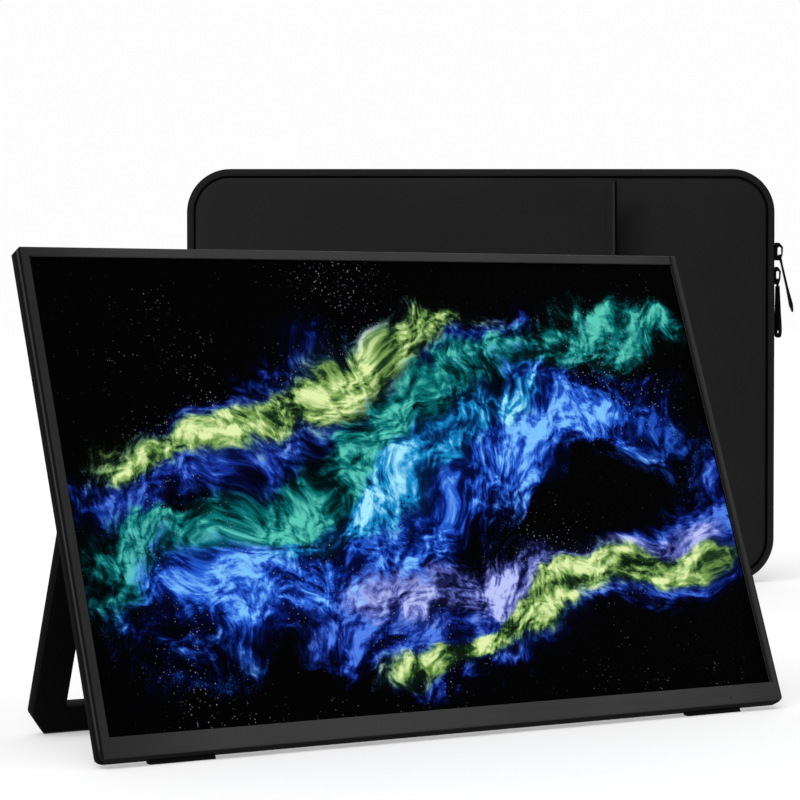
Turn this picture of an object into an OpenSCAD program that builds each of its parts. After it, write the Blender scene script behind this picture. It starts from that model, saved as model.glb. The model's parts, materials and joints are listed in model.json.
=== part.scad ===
// Portable monitor on its kickstand, with the zipped sleeve that it travels in.
// Millimetres. +Z is up, -Y is the side that the screen faces, and the origin
// is the middle of the set's own footprint, on the table.

/* [Screen] */
// Width of the opening that shows the screen
screen_w = 286.5; // [240:0.5:320]
// Height of the opening that shows the screen
screen_h = 179.1; // [150:0.1:200]
// How far the screen leans back from upright, in degrees
tilt = 22; // [12:1:32]

/* [Housing] */
// Width of the front rim beside the screen
side_rim = 4; // [3:0.1:8]
// Width of the front rim above the screen
top_rim = 3.7; // [3:0.1:8]
// Height of the chin below the screen
chin_h = 8.5; // [7.5:0.1:14]
// Thickness of the slim part of the housing
housing_t = 7; // [6.6:0.1:9]
// Depth of the front frame's side wall
frame_depth = 3.1; // [2.8:0.1:3.4]
// Thickness of the front frame's rim over the screen
rim_t = 0.9; // [0.7:0.1:1.2]
// Gap at the parting line between the frame and the rear cover
parting_gap = 0.2; // [0.1:0.05:0.4]
// Wall of the rear cover
cover_wall = 1.2; // [1:0.1:1.5]
// Radius of the housing's top corners
top_corner_r = 1.5; // [1:0.1:4]
// Radius of the housing's bottom corners
bottom_corner_r = 3.4; // [2:0.1:6]
// Radius of the chin's front lower edge
chin_round = 2.4; // [1:0.1:2.6]
// Radius of the rear cover's lower edge
rear_round = 3.2; // [1.5:0.1:3.4]
// Radius of the other outside edges
edge_round = 0.7; // [0.3:0.1:1.2]

/* [Rear bulge] */
// Width of the bulge that holds the electronics
bulge_w = 243; // [210:1:250]
// Height of the bulge
bulge_h = 108; // [107:0.5:113]
// Distance from the screen's lower edge up to the bulge
bulge_y = 5.5; // [5:0.5:8]
// How far the bulge stands out behind the slim part
bulge_t = 6.6; // [6.2:0.1:8]
// Radius of the bulge's corners
bulge_corner_r = 7; // [3:0.5:12]
// Radius of the bulge's rear edges
bulge_round = 1.6; // [0.5:0.1:2.4]

/* [Kickstand] */
// Angle between the kickstand and the back of the housing
stand_open = 43.9; // [30:0.1:60]
// Height of the hinge line above the screen's lower edge
hinge_y = 99.5; // [96:0.5:100]
// Gap between each leg and the side of the bulge
leg_gap = 2.4; // [1.6:0.1:3]
// Width of each leg
leg_w = 12.8; // [10:0.1:13.5]
// Thickness of the kickstand
stand_t = 5.6; // [4.8:0.1:6]
// Gap between the folded kickstand's cross bar and the bulge
bar_gap = 0.8; // [0.5:0.1:2]
// Gap between the folded kickstand and the housing
stand_gap = 0.3; // [0.2:0.05:0.8]
// Width of the bevel at the kickstand's outer corners
bevel_w = 6.5; // [4:0.5:10]
// Height of the bevel at the kickstand's outer corners
bevel_h = 8.5; // [5:0.5:12]
// Radius of the hinge pins
pin_r = 1.6; // [1.2:0.1:1.8]
// Running clearance round a hinge pin
pin_clearance = 0.05; // [0.02:0.01:0.1]

/* [Feet] */
// Distance from the middle to the inner end of a foot
foot_x = 102.5; // [60:0.5:110]
// Length of a foot
foot_len = 25.5; // [12:0.5:30]
// How far the feet hold the housing off the table
foot_drop = 1.1; // [0.6:0.1:2]

/* [Ports and controls] */
// Height of the upper data socket on the bulge's right side
usb_upper_y = 76; // [70:1:80]
// Height of the lower data socket
usb_lower_y = 61; // [56:1:64]
// Height of the picture socket
hdmi_y = 44; // [42:1:48]
// Height of the headphone socket on the bulge's left side
jack_y = 32; // [28:1:36]
// Radius of the headphone socket's bore
jack_bore_r = 1.8; // [1.76:0.01:1.9]
// Height of the menu rocker's middle
rocker_y = 56; // [50:1:60]
// Length of the menu rocker
rocker_len = 14.4; // [10:0.1:18]
// Height of the power button's middle
power_y = 78; // [74:1:84]
// Length of the power button
power_len = 7; // [5:0.1:9]
// How far the buttons stand proud of the bulge
button_proud = 0.7; // [0.4:0.1:1.2]

/* [Sleeve] */
// Width of the sleeve
sleeve_w = 345; // [330:1:380]
// Height of the sleeve
sleeve_h = 243; // [225:1:270]
// Thickness of the sleeve
sleeve_t = 20; // [19:0.5:24]
// Radius of the sleeve's corners
sleeve_r = 26; // [16:1:40]
// How far the seams lie inside the sleeve's outline
seam_inset = 4.5; // [3.5:0.1:6]
// Depth of the fabric box that forms each face
face_t = 3; // [2.6:0.1:4]
// Thickness of the outer fabric
fabric_t = 0.9; // [0.6:0.1:1.2]
// Thickness of the lining
lining_t = 0.35; // [0.2:0.05:0.5]
// Thickness of the side band's padding at its edges
band_t = 2.5; // [1.5:0.1:3]
// Radius of the piping along the seams
piping_r = 1.25; // [0.8:0.05:1.5]
// Height of the zip's two ends, where the mouth's flap folds
fold_y = 170; // [140:1:176]
// Distance from the sleeve's middle to the pocket's open edge
pocket_edge = 79; // [20:1:120]
// Room between the pocket and the sleeve's face
pocket_gap = 0.8; // [0.4:0.1:2]
// Turn of the sleeve about the vertical, in degrees
sleeve_turn = -30.84; // [-60:0.01:60]
// Place of the sleeve to the right of the screen's middle
sleeve_right = 334; // [300:1:420]
// Place of the sleeve behind the screen's lower edge
sleeve_behind = 513; // [440:1:600]

/* [Zip] */
// Height of the upper slider's middle
slider_upper_y = 194.3; // [192:0.1:200]
// Height of the lower slider's middle
slider_lower_y = 180.2; // [178:0.1:182]
// Length of a slider's body
slider_len = 9.4; // [8:0.1:10]
// Half the width of a slider's wings
slider_half = 3; // [2:0.1:3.1]
// Length of a pull
pull_len = 34.3; // [24:0.1:36]
// Width of a pull near its tip
pull_w = 4.4; // [3.4:0.1:4.8]
// Thickness of a pull near its tip
pull_t = 2; // [1.4:0.1:2.4]

/* [Hidden] */
$fn = 64;

corner_steps = 7;        // faces in each rounded plan corner
cut = 1;                 // how far a cutting shape runs past a surface
touch = 0.05;            // gap between pieces laid on each other

// ---- housing, in the panel's own frame: x right, y up the panel, z out of
// ---- the screen, with the origin at the middle of the screen's lower edge
housing_half = screen_w / 2 + side_rim;
housing_top = screen_h + top_rim;
cavity_half = housing_half - 1.4;
cavity_bottom = -chin_h + 2.9;
cavity_top = housing_top - 1.3;
part_fit = 0.25;         // room round the parts in the housing
part_half = cavity_half - part_fit;
part_bottom = cavity_bottom + part_fit;
part_top = cavity_top - part_fit;

display_z = -rim_t - touch;
display_t = 1.2;
backlight_z = display_z - display_t - touch;
backlight_t = 1.95;
chassis_z = backlight_z - backlight_t - touch;
chassis_t = 0.45;
chassis_back = chassis_z - chassis_t;
cover_z = -frame_depth - parting_gap;
cover_floor = -housing_t + cover_wall;

bulge_half = bulge_w / 2;
bulge_back = -housing_t - bulge_t;
bulge_floor = bulge_back + cover_wall;
bulge_side_wall = 1.4;
bulge_inner = bulge_half - bulge_side_wall;
bulge_top = bulge_y + bulge_h;

// ---- table line and kickstand
rear_low = (rear_round - chin_h) * cos(tilt)
         + (rear_round - housing_t) * sin(tilt) - rear_round;
table_h = rear_low - foot_drop;
lean = stand_open - tilt;
hinge_z = -housing_t - stand_gap - stand_t / 2;
hinge_height = hinge_y * cos(tilt) + hinge_z * sin(tilt);
stand_len = (hinge_height - table_h - stand_t / 2) / cos(lean);
leg_in = bulge_half + leg_gap;
stand_w = 2 * (leg_in + leg_w);
bar_top = bulge_y - bar_gap - hinge_y;
strip_seat = 0.8;        // depth of the rubber strip's seat below the axis
pin_hole_r = pin_r + pin_clearance;
pin_end = stand_w / 2 - 0.8;
pin_start = bulge_inner - 14;

// ---- boards
board_t = 1;
board_gap = 1.5;
board_z = chassis_back - board_gap;
board_back = board_z - board_t;
board_left = -bulge_half * 0.48;
board_right = bulge_half - 1.6;
board_low = 36;
board_high = hinge_y - 13.5;
board_screw_x = [board_left + 5, board_right - 24];
board_screw_y = [board_low + 5, board_high - 5];
control_right = 35.5 - bulge_half;
control_left = -bulge_inner + 4;
control_low = 28;
control_high = hinge_y - 11.5;
control_screw_y = [control_low + 16, control_high - 18];
post_r = 2;
screw_r = 0.75;
screw_hole_r = 0.8;
screw_head_r = 1.5;
screw_head_t = 0.8;
cover_screws_at = [
    for (side = [-1, 0, 1]) [side * (bulge_half - 13.5), bulge_y + 8.5],
    for (side = [-1, 1]) [side * (bulge_half - 41.5), bulge_top - 12]];
cover_boss_r = 3.2;
cover_boss_z = bulge_back + 2.8;
cover_head_z = bulge_back + 1.2;

port_setback = 0.3;      // socket mouths lie this far inside the side wall
port_fit = 0.2;          // room round a socket in the side wall
usb_w = 8.94;
usb_h = 3.16;
usb_z = board_back - usb_h / 2;
hdmi_w = 11.2;
hdmi_h = 3.2;
hdmi_z = board_back - hdmi_h / 2;
jack_body_h = 5;
jack_z = board_back - jack_body_h / 2;
jack_len = 12;
jack_nose_r = jack_bore_r + 0.6;

button_z = -9.7;
button_h = 2.2;
button_fit = 0.3;
flange_gap = 0.5;        // travel of a button's flange behind the wall
flange_t = 1;
switch_gap = 0.5;

speaker_x = bulge_half - 59.5;
speaker_len = 36;
speaker_y = bulge_y + 3.5;
speaker_h = 18;
slot_count = 9;
slot_pitch = 3.5;
slot_w = 1.3;
vent_count = 16;
vent_pitch = 5;
vent_low = bulge_y + 52.5;
vent_h = 22;

bracket_x = bulge_inner - 15;    // the hinge brackets' inner end
bracket_len = 14.4;
bracket_h = 9;
bracket_foot_w = 8;
bracket_foot_h = 19;
bracket_foot_t = 1;
bracket_foot_z = chassis_back - 2;
bracket_screws_at = [for (side = [-1, 1])
    [bracket_x + bracket_foot_w / 2, hinge_y + side * (bracket_foot_h / 2 - 2.5)]];

// ---- sleeve, lying on its back: x right, y up its face, z out of its face
sleeve_half = sleeve_w / 2;
half_t = sleeve_t / 2;
face_in = half_t - face_t;             // inner side of a face
band_r = (seam_inset * seam_inset + pow(half_t - 1, 2)) / (2 * seam_inset);
band_inside = band_r - sqrt(band_r * band_r - face_in * face_in) + band_t;
fold_gap = 0.3;
base_flat = 0.3;                       // the base is flat this deep
zip_half = 3.2;                        // the zip shows between the two bands
chain_half = 1.4;
tape_n = -2.2;
tape_t = 0.7;
chain_n = -2.6;
chain_t = 1.8;
chain_split = 0.75;                    // the chain parts this far at a slider
split_top = sleeve_h - sleeve_r - 1;     // just inside the straight stretch
wing_t = 1.1;
wing_gap = 0.2;
stop_len = 2;
loop_wire = 1;
loop_h = 10.4;
loop_t = 2.2;
loop_hole_h = 5.4;
loop_in_upper = 1.7;                   // where a loop's hole starts, and its outer side
loop_in_lower = 1;
loop_out_upper = 4.9;
loop_out_lower = 3.7;
pull_pin_r = 0.45;
pull_pin_in = loop_wire + 0.95;        // from a loop's outer side in to the pull's pin
pull_drop = loop_hole_h / 2 - 0.6;     // from the slider's middle down to the pin
pull_neck = loop_h / 2 - pull_drop + 0.3;  // from the pin down to the pull's body
prong_gap = 0.25;
prong_t = 0.7;
prong_w = 1.1;
pull_thin = 1;                         // thickness of a pull's upper half
pull_hole_r = 1;
pull_lean_upper = 13.1;
pull_lean_lower = 0.8;
pull_twist_lower = 45;                 // turn of the lower pull about its length

// ---- places in the set; the origin is the middle of the footprint
pull_tip = sleeve_half + loop_out_upper - pull_pin_in
         + pull_len * sin(pull_lean_upper) + pull_t / 8;
piping_out = sleeve_half - seam_inset + 0.15 + piping_r;
piping_z = face_in + touch + piping_r;
front_edge = (chin_round - chin_h) * sin(tilt) + chin_round * (cos(tilt) - 1);
reach_right = pull_tip * cos(sleeve_turn) + pull_w * 0.465 * abs(sin(sleeve_turn));
reach_back = piping_out * abs(sin(sleeve_turn)) + piping_z * cos(sleeve_turn) + piping_r;
footprint = [-housing_half, sleeve_right + reach_right,
             front_edge, sleeve_behind + reach_back];
set_shift = [-(footprint[0] + footprint[1]) / 2,
             -(footprint[2] + footprint[3]) / 2];

// ======================= shapes used by many pieces =======================

function unit(v) = v / norm(v);

// One rounded corner at p, between its neighbours a and b
function round_at(a, p, b, r) =
    r <= 0 ? [p] :
    let (u = unit(a - p), v = unit(b - p),
         half = acos(u * v) / 2,
         start = p + u * r / tan(half),
         end = p + v * r / tan(half),
         centre = p + unit(u + v) * r / sin(half),
         from = atan2(start[1] - centre[1], start[0] - centre[0]),
         to = atan2(end[1] - centre[1], end[0] - centre[0]),
         turn = to - from,
         sweep = turn > 180 ? turn - 360 : turn < -180 ? turn + 360 : turn)
    [for (i = [0:corner_steps])
        let (angle = from + sweep * i / corner_steps)
        centre + r * [cos(angle), sin(angle)]];

// A polygon whose corners, given as [x, y, radius], are rounded
function rounded(points) =
    let (n = len(points))
    [for (i = [0:n - 1])
        let (a = points[(i + n - 1) % n], p = points[i], b = points[(i + 1) % n])
        each round_at([a[0], a[1]], [p[0], p[1]], [b[0], b[1]], p[2])];

module rounded_box_2d(x0, x1, y0, y1, r) {
    polygon(rounded([[x0, y0, r], [x1, y0, r], [x1, y1, r], [x0, y1, r]]));
}

// A slab from z0 up to z1
module layer(z0, z1) {
    translate([0, 0, z0]) linear_extrude(z1 - z0) children();
}

// Turns a drawing of (y, z) into a bar along x
module along_x(x0, x1) {
    translate([x0, 0, 0]) rotate([90, 0, 90]) linear_extrude(x1 - x0) children();
}

// Turns a drawing of (x, z) into a bar along y
module along_y(y0, y1) {
    translate([0, y1, 0]) rotate([90, 0, 0]) linear_extrude(y1 - y0) children();
}

module box(low, high) {
    translate(low) cube(high - low);
}

module rod_x(x0, x1, r) {
    translate([x0, 0, 0]) rotate([0, 90, 0]) cylinder(h = x1 - x0, r = r);
}

module rod_z(z0, z1, r) {
    translate([0, 0, z0]) cylinder(h = z1 - z0, r = r);
}

module both_sides() {
    children();
    mirror([1, 0, 0]) children();
}

module both_ends() {
    children();
    mirror([0, 0, 1]) children();
}

// Sets a piece drawn in the panel's frame in its place
module at_panel() {
    translate([set_shift[0], set_shift[1], -table_h])
        rotate([90 - tilt, 0, 0]) children();
}

// Sets a piece drawn in the folded kickstand's frame in its place
module at_stand() {
    at_panel() translate([0, hinge_y, hinge_z])
        rotate([stand_open, 0, 0]) children();
}

// Sets a piece drawn in the sleeve's frame in its place
module at_sleeve() {
    translate([set_shift[0] + sleeve_right, set_shift[1] + sleeve_behind, -base_flat])
        rotate([0, 0, sleeve_turn]) rotate([90, 0, 0]) children();
}

// ============================== housing ==============================

module housing_outline() {
    polygon(rounded([
        [-housing_half, -chin_h, bottom_corner_r],
        [housing_half, -chin_h, bottom_corner_r],
        [housing_half, housing_top, top_corner_r],
        [-housing_half, housing_top, top_corner_r]]));
}

// The slim part of the housing with all its outside edges rounded
module slim_body() {
    intersection() {
        layer(-housing_t, 0) housing_outline();
        along_x(-housing_half, housing_half)
            polygon(rounded([
                [-chin_h, 0, chin_round], [housing_top, 0, edge_round],
                [housing_top, -housing_t, edge_round],
                [-chin_h, -housing_t, rear_round]]));
        along_y(-chin_h, housing_top)
            polygon(rounded([
                [-housing_half, 0, edge_round], [housing_half, 0, edge_round],
                [housing_half, -housing_t, edge_round],
                [-housing_half, -housing_t, edge_round]]));
    }
}

module bulge_body() {
    intersection() {
        layer(bulge_back, cover_floor)
            rounded_box_2d(-bulge_half, bulge_half, bulge_y, bulge_top, bulge_corner_r);
        along_x(-bulge_half, bulge_half)
            polygon(rounded([
                [bulge_y, cover_floor, 0], [bulge_top + 1, cover_floor, 0],
                [bulge_top, -housing_t, 0], [bulge_top - 3, bulge_back, bulge_round],
                [bulge_y, bulge_back, bulge_round]]));
        along_y(bulge_y, bulge_top)
            polygon(rounded([
                [-bulge_half, cover_floor, 0], [bulge_half, cover_floor, 0],
                [bulge_half, bulge_back, bulge_round],
                [-bulge_half, bulge_back, bulge_round]]));
    }
}

// A foot's section in (y, z): flat on the table when the housing leans
function foot_low(z) = (table_h - z * sin(tilt)) / cos(tilt);
foot_z0 = -housing_t + 0.7;
foot_z1 = cover_z - 0.2;
foot_seat = -chin_h + 1.6;

module foot_section(spare) {
    polygon([
        [foot_seat + spare, foot_z0 - spare], [foot_seat + spare, foot_z1 + spare],
        [foot_low(foot_z1) - spare * 40, foot_z1 + spare],
        [foot_low(foot_z0) - spare * 40, foot_z0 - spare]]);
}

module status_hole() {
    translate([housing_half - 25.3, -chin_h * 0.6, 0]) children();
}

module front_frame() {
    color("#2c2c2e") at_panel() difference() {
        intersection() {
            slim_body();
            layer(-frame_depth, 1) square(4 * housing_half, center = true);
        }
        layer(-frame_depth - cut, cut)
            translate([-screen_w / 2, 0]) square([screen_w, screen_h]);
        layer(-frame_depth - cut, -rim_t)
            translate([-cavity_half, cavity_bottom])
                square([2 * cavity_half, cavity_top - cavity_bottom]);
        status_hole() rod_z(-rim_t - cut, cut, 0.5 + touch);
    }
}

module status_lens() {
    color("#6a6a6c") at_panel() status_hole() rod_z(-rim_t, -touch, 0.5);
}

module inner_plate(z, t, inset) {
    layer(z - t, z)
        rounded_box_2d(-part_half + inset, part_half - inset,
                       part_bottom + inset, part_top - inset, 0.8);
}

module display_panel() {
    color("#050506") at_panel() inner_plate(display_z, display_t, 0);
}

module backlight_unit() {
    color("#d8d8da") at_panel() inner_plate(backlight_z, backlight_t, 0);
}

module post(z0, r = post_r) {
    difference() {
        rod_z(z0, chassis_z - chassis_t / 2, r);
        rod_z(z0 - cut, z0 + 3.2, screw_hole_r);
    }
}

module chassis_plate() {
    color("#9a9ca0") at_panel() {
        difference() {
            inner_plate(chassis_z, chassis_t, 0.4);
            for (i = [-2, -1, 1, 2]) translate([i * part_half * 0.35, 0, 0])
                layer(chassis_back - cut, chassis_z + cut)
                    rounded_box_2d(-part_half * 0.11, part_half * 0.11,
                                   bulge_top + 6, part_top - 13, 4);
        }
        for (p = cover_screws_at) translate([p[0], p[1], 0]) post(cover_boss_z);
        for (x = board_screw_x) for (y = board_screw_y)
            translate([x, y, 0]) post(board_z);
        for (y = control_screw_y)
            translate([control_right - 6, y, 0]) post(board_z);
        both_sides() for (p = bracket_screws_at)
            translate([p[0], p[1], 0]) post(bracket_foot_z, 1.7);
    }
}

module cover_cavity() {
    layer(cover_floor, cover_z + cut)
        translate([-cavity_half, cavity_bottom])
            square([2 * cavity_half, cavity_top - cavity_bottom]);
    layer(bulge_floor, cover_floor + cut)
        rounded_box_2d(-bulge_inner, bulge_inner, bulge_y + bulge_side_wall,
                       bulge_top - 3.4, bulge_corner_r - bulge_side_wall);
}

module slot_row(x0, count, pitch, y0, y1, w) {
    for (i = [0:count - 1])
        translate([x0 + i * pitch, 0, 0])
            layer(bulge_back - cut, bulge_floor + cut)
                rounded_box_2d(-w / 2, w / 2, y0, y1, w / 2 - 0.01);
}

module usb_outline(spare) {
    w = usb_w / 2 + spare;
    h = usb_h / 2 + spare;
    rounded_box_2d(-w, w, -h, h, h - 0.1);
}

module hdmi_outline(spare) {
    w = hdmi_w / 2 + spare;
    h = hdmi_h / 2 + spare;
    polygon([[-w, -h * 0.1], [-w + 1.4, -h], [w - 1.4, -h], [w, -h * 0.1], [w, h], [-w, h]]);
}

// Draws an outline of (y, z) as a bar along x at a place on the bulge's side
module side_bar(x0, x1, y, z) {
    translate([0, y, z]) along_x(x0, x1) children();
}

module button_outline(len, spare) {
    rounded_box_2d(-len / 2 - spare, len / 2 + spare,
                   -button_h / 2 - spare, button_h / 2 + spare, 0.9);
}

module rear_cover() {
    color("#1b1b1d") at_panel() difference() {
        union() {
            intersection() {
                slim_body();
                layer(-housing_t, cover_z) square(4 * housing_half, center = true);
            }
            bulge_body();
        }
        difference() {
            cover_cavity();
            for (p = cover_screws_at)
                translate([p[0], p[1], 0]) rod_z(bulge_back, cover_boss_z - touch, cover_boss_r);
        }
        for (p = cover_screws_at) translate([p[0], p[1], 0]) {
            rod_z(bulge_back - cut, cover_head_z, screw_head_r + 0.3);
            rod_z(bulge_back - cut, cover_boss_z + cut, screw_hole_r + 0.3);
        }
        both_sides() {
            slot_row(speaker_x + 4, slot_count, slot_pitch, speaker_y + 4, speaker_y + 14, slot_w);
            translate([0, hinge_y, hinge_z]) rod_x(bulge_inner - cut, bulge_half + cut,
                                                   pin_r + 0.3);
            along_x(foot_x - 0.1, foot_x + foot_len + 0.1) foot_section(touch);
        }
        slot_row((1 - vent_count) * vent_pitch / 2, vent_count, vent_pitch,
                 vent_low, vent_low + vent_h, slot_w);
        for (y = [usb_upper_y, usb_lower_y])
            side_bar(bulge_inner - cut, bulge_half + cut, y, usb_z) usb_outline(port_fit);
        side_bar(bulge_inner - cut, bulge_half + cut, hdmi_y, hdmi_z) hdmi_outline(port_fit);
        translate([0, jack_y, jack_z])
            rod_x(-bulge_half - cut, -bulge_inner + cut, jack_nose_r + 0.1);
        side_bar(-bulge_half - cut, -bulge_inner + cut, power_y, button_z)
            button_outline(power_len, button_fit);
        side_bar(-bulge_half - cut, -bulge_inner + cut, rocker_y, button_z)
            button_outline(rocker_len, button_fit);
    }
}

module foot() {
    along_x(foot_x, foot_x + foot_len) foot_section(0);
}

module foot_right() {
    color("#0d0d0e") at_panel() foot();
}

module foot_left() {
    color("#0d0d0e") at_panel() mirror([1, 0, 0]) foot();
}

// =========================== inside the bulge ===========================

module board(x0, x1, y0, y1) {
    layer(board_back, board_z) rounded_box_2d(x0, x1, y0, y1, 1);
}

// A part on the driver board, from a place above the board's lower edge
module chip(x, up, w, h, t) {
    translate([x, board_low + up, board_back - t]) cube([w, h, t]);
}

module driver_board() {
    color("#1f5a3a") at_panel() {
        difference() {
            board(board_left, board_right, board_low, board_high);
            for (x = board_screw_x) for (y = board_screw_y)
                translate([x, y, 0]) rod_z(board_back - cut, board_z + cut, screw_hole_r + 0.3);
        }
        chip(-6, 16, 18, 18, 1.4);
        chip(26, 20, 12, 10, 1.1);
        for (i = [0:2]) chip(-44 + i * 11, 26, 8, 8, 2.6);
        for (i = [0:3]) translate([52 + i * 8, board_low + 14, 0])
            rod_z(board_back - 3.2, board_back, 2.5);
        box([20, board_low + 1, board_z], [50, board_low + 5, chassis_back - 0.55]);
    }
}

module panel_flex() {
    color("#b87a2a") at_panel()
        box([21, part_bottom + 3, chassis_back - 0.45],
            [49, board_low + 4.6, chassis_back - touch]);
}

module control_board() {
    color("#1f5a3a") at_panel() difference() {
        board(control_left, control_right, control_low, control_high);
        for (y = control_screw_y) translate([control_right - 6, y, 0])
            rod_z(board_back - cut, board_z + cut, screw_hole_r + 0.3);
    }
}

module usb_port(y) {
    color("#a8abb0") at_panel() {
        difference() {
            side_bar(bulge_half - 7.6, bulge_half - port_setback, y, usb_z) usb_outline(0);
            side_bar(bulge_half - 6.9, bulge_half + cut, y, usb_z) usb_outline(-0.3);
        }
        side_bar(bulge_half - 7.2, bulge_half - 2.2, y, usb_z)
            square([6.6, 0.7], center = true);
    }
}

module usb_port_upper() { usb_port(usb_upper_y); }
module usb_port_lower() { usb_port(usb_lower_y); }

module hdmi_port() {
    color("#a8abb0") at_panel() {
        difference() {
            side_bar(bulge_half - 8, bulge_half - port_setback, hdmi_y, hdmi_z) hdmi_outline(0);
            side_bar(bulge_half - 7.3, bulge_half + cut, hdmi_y, hdmi_z) hdmi_outline(-0.35);
        }
        side_bar(bulge_half - 7.5, bulge_half - 2.4, hdmi_y, hdmi_z)
            square([8, 0.7], center = true);
    }
}

module audio_jack() {
    color("#18181a") at_panel() translate([0, jack_y, jack_z]) difference() {
        union() {
            translate([-bulge_inner + 0.3, -3, -jack_body_h / 2]) cube([jack_len, 6, jack_body_h]);
            rod_x(-bulge_half + port_setback, -bulge_inner + 1, jack_nose_r);
        }
        rod_x(-bulge_half - cut, -bulge_half + port_setback + jack_len - 1, jack_bore_r);
    }
}

switch_face = -bulge_inner + flange_gap + flange_t + switch_gap;

module tact_switch(y) {
    translate([0, y, 0]) {
        box([switch_face + 0.6, -2.2, button_z - 1.4], [switch_face + 4, 2.2, board_back]);
        translate([0, 0, button_z]) rod_x(switch_face, switch_face + 1, 0.7);
    }
}

module power_switch() {
    color("#3a3a3c") at_panel() tact_switch(power_y);
}

module rocker_switches() {
    color("#3a3a3c") at_panel()
        for (side = [-1, 1]) tact_switch(rocker_y + side * rocker_len * 0.36);
}

// A cap through the side wall with a flange behind it
module side_button(y, len) {
    side_bar(-bulge_half - button_proud, -bulge_inner + flange_gap + flange_t, y, button_z)
        button_outline(len, 0);
    side_bar(-bulge_inner + flange_gap, -bulge_inner + flange_gap + flange_t, y, button_z)
        button_outline(len, 0.8);
}

module power_button() {
    color("#2a2a2c") at_panel() side_button(power_y, power_len);
}

module menu_rocker() {
    color("#2a2a2c") at_panel() side_button(rocker_y, rocker_len);
}

module speaker() {
    difference() {
        layer(bulge_floor + touch, chassis_back - 0.3)
            rounded_box_2d(speaker_x, speaker_x + speaker_len,
                           speaker_y, speaker_y + speaker_h, 3);
        layer(bulge_floor - cut, bulge_floor + 1.2)
            rounded_box_2d(speaker_x + 3, speaker_x + speaker_len - 3,
                           speaker_y + 3, speaker_y + speaker_h - 3, 5);
    }
}

module speaker_right() {
    color("#151516") at_panel() speaker();
}

module speaker_left() {
    color("#151516") at_panel() mirror([1, 0, 0]) speaker();
}

// ============================== hinges ==============================

module bracket() {
    difference() {
        union() {
            box([bracket_x, hinge_y - bracket_h / 2, bulge_floor + 0.2],
                [bracket_x + bracket_len, hinge_y + bracket_h / 2, bracket_foot_z]);
            box([bracket_x, hinge_y - bracket_foot_h / 2, bracket_foot_z - bracket_foot_t],
                [bracket_x + bracket_foot_w, hinge_y + bracket_foot_h / 2, bracket_foot_z]);
        }
        translate([0, hinge_y, hinge_z]) rod_x(pin_start - 0.4, bulge_half, pin_hole_r);
        for (p = bracket_screws_at) translate([p[0], p[1], 0])
            rod_z(bracket_foot_z - 2 * bracket_foot_t, bracket_foot_z + cut,
                  screw_hole_r + 0.2);
    }
}

module hinge_bracket_right() {
    color("#8c8f94") at_panel() bracket();
}

module hinge_bracket_left() {
    color("#8c8f94") at_panel() mirror([1, 0, 0]) bracket();
}

// A screw whose head rests at head_z and whose shank runs towards the screen
module screw(head_z, length) {
    rod_z(head_z - screw_head_t, head_z, screw_head_r);
    rod_z(head_z - 0.1, head_z + length, screw_r);
}

module cover_screws() {
    color("#3c3c3e") at_panel()
        for (p = cover_screws_at) translate([p[0], p[1], 0]) screw(cover_head_z, 4.2);
}

module board_screws() {
    color("#b4b6ba") at_panel() {
        for (x = board_screw_x) for (y = board_screw_y)
            translate([x, y, 0]) screw(board_back, board_t + 1.3);
        for (y = control_screw_y)
            translate([control_right - 6, y, 0]) screw(board_back, board_t + 1.3);
    }
}

module bracket_screws() {
    color("#b4b6ba") at_panel() both_sides()
        for (p = bracket_screws_at) translate([p[0], p[1], 0])
            screw(bracket_foot_z - bracket_foot_t, bracket_foot_t + 1.8);
}

// The whole kickstand seen square on, with its rubber strip
module stand_outline() {
    half = stand_w / 2;
    low = -stand_len - stand_t / 2;
    layer(-stand_t / 2, stand_t / 2)
        polygon(rounded([
            [-half, stand_t / 2, 0], [-half, low + bevel_h, 3],
            [-half + bevel_w, low, 2], [half - bevel_w, low, 2],
            [half, low + bevel_h, 3], [half, stand_t / 2, 0],
            [leg_in, stand_t / 2, 0], [leg_in, bar_top, 2],
            [-leg_in, bar_top, 2], [-leg_in, stand_t / 2, 0]]));
}

module kickstand() {
    half = stand_w / 2;
    low = -stand_len - strip_seat;
    color("#0c0c0d") at_stand() difference() {
        intersection() {
            stand_outline();
            along_x(-half, half)
                polygon(rounded([
                    [stand_t / 2, -stand_t / 2, stand_t / 2 - 0.01],
                    [stand_t / 2, stand_t / 2, stand_t / 2 - 0.01],
                    [low, stand_t / 2, 0.8], [low, -stand_t / 2, 0.8]]));
        }
        both_sides() rod_x(leg_in - cut, pin_end + 0.2, pin_hole_r);
    }
}

module hinge_pins() {
    color("#a0a3a8") at_stand() both_sides() rod_x(pin_start, pin_end, pin_r);
}

// The strip's underside is round about the leg's own middle line
module kickstand_strip() {
    color("#141415") at_stand() intersection() {
        stand_outline();
        along_x(-stand_w / 2, stand_w / 2) intersection() {
            translate([-stand_len, 0]) circle(stand_t / 2);
            translate([-stand_len - strip_seat - stand_t, -stand_t])
                square([stand_t, 2 * stand_t]);
        }
    }
}

// =============================== sleeve ===============================

// Carries a section (outward, z) along a straight stretch of the outline
module side_run(side, y0, y1) {
    if (side < 0)
        translate([-sleeve_half, y0, 0]) rotate([90, 0, 180])
            linear_extrude(y1 - y0) children();
    else
        translate([sleeve_half, y1, 0]) rotate([90, 0, 0])
            linear_extrude(y1 - y0) children();
}

module corner_run(x, y, from) {
    translate([x, y, 0]) rotate([0, 0, from])
        rotate_extrude(angle = 90) translate([sleeve_r, 0]) children();
}

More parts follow.
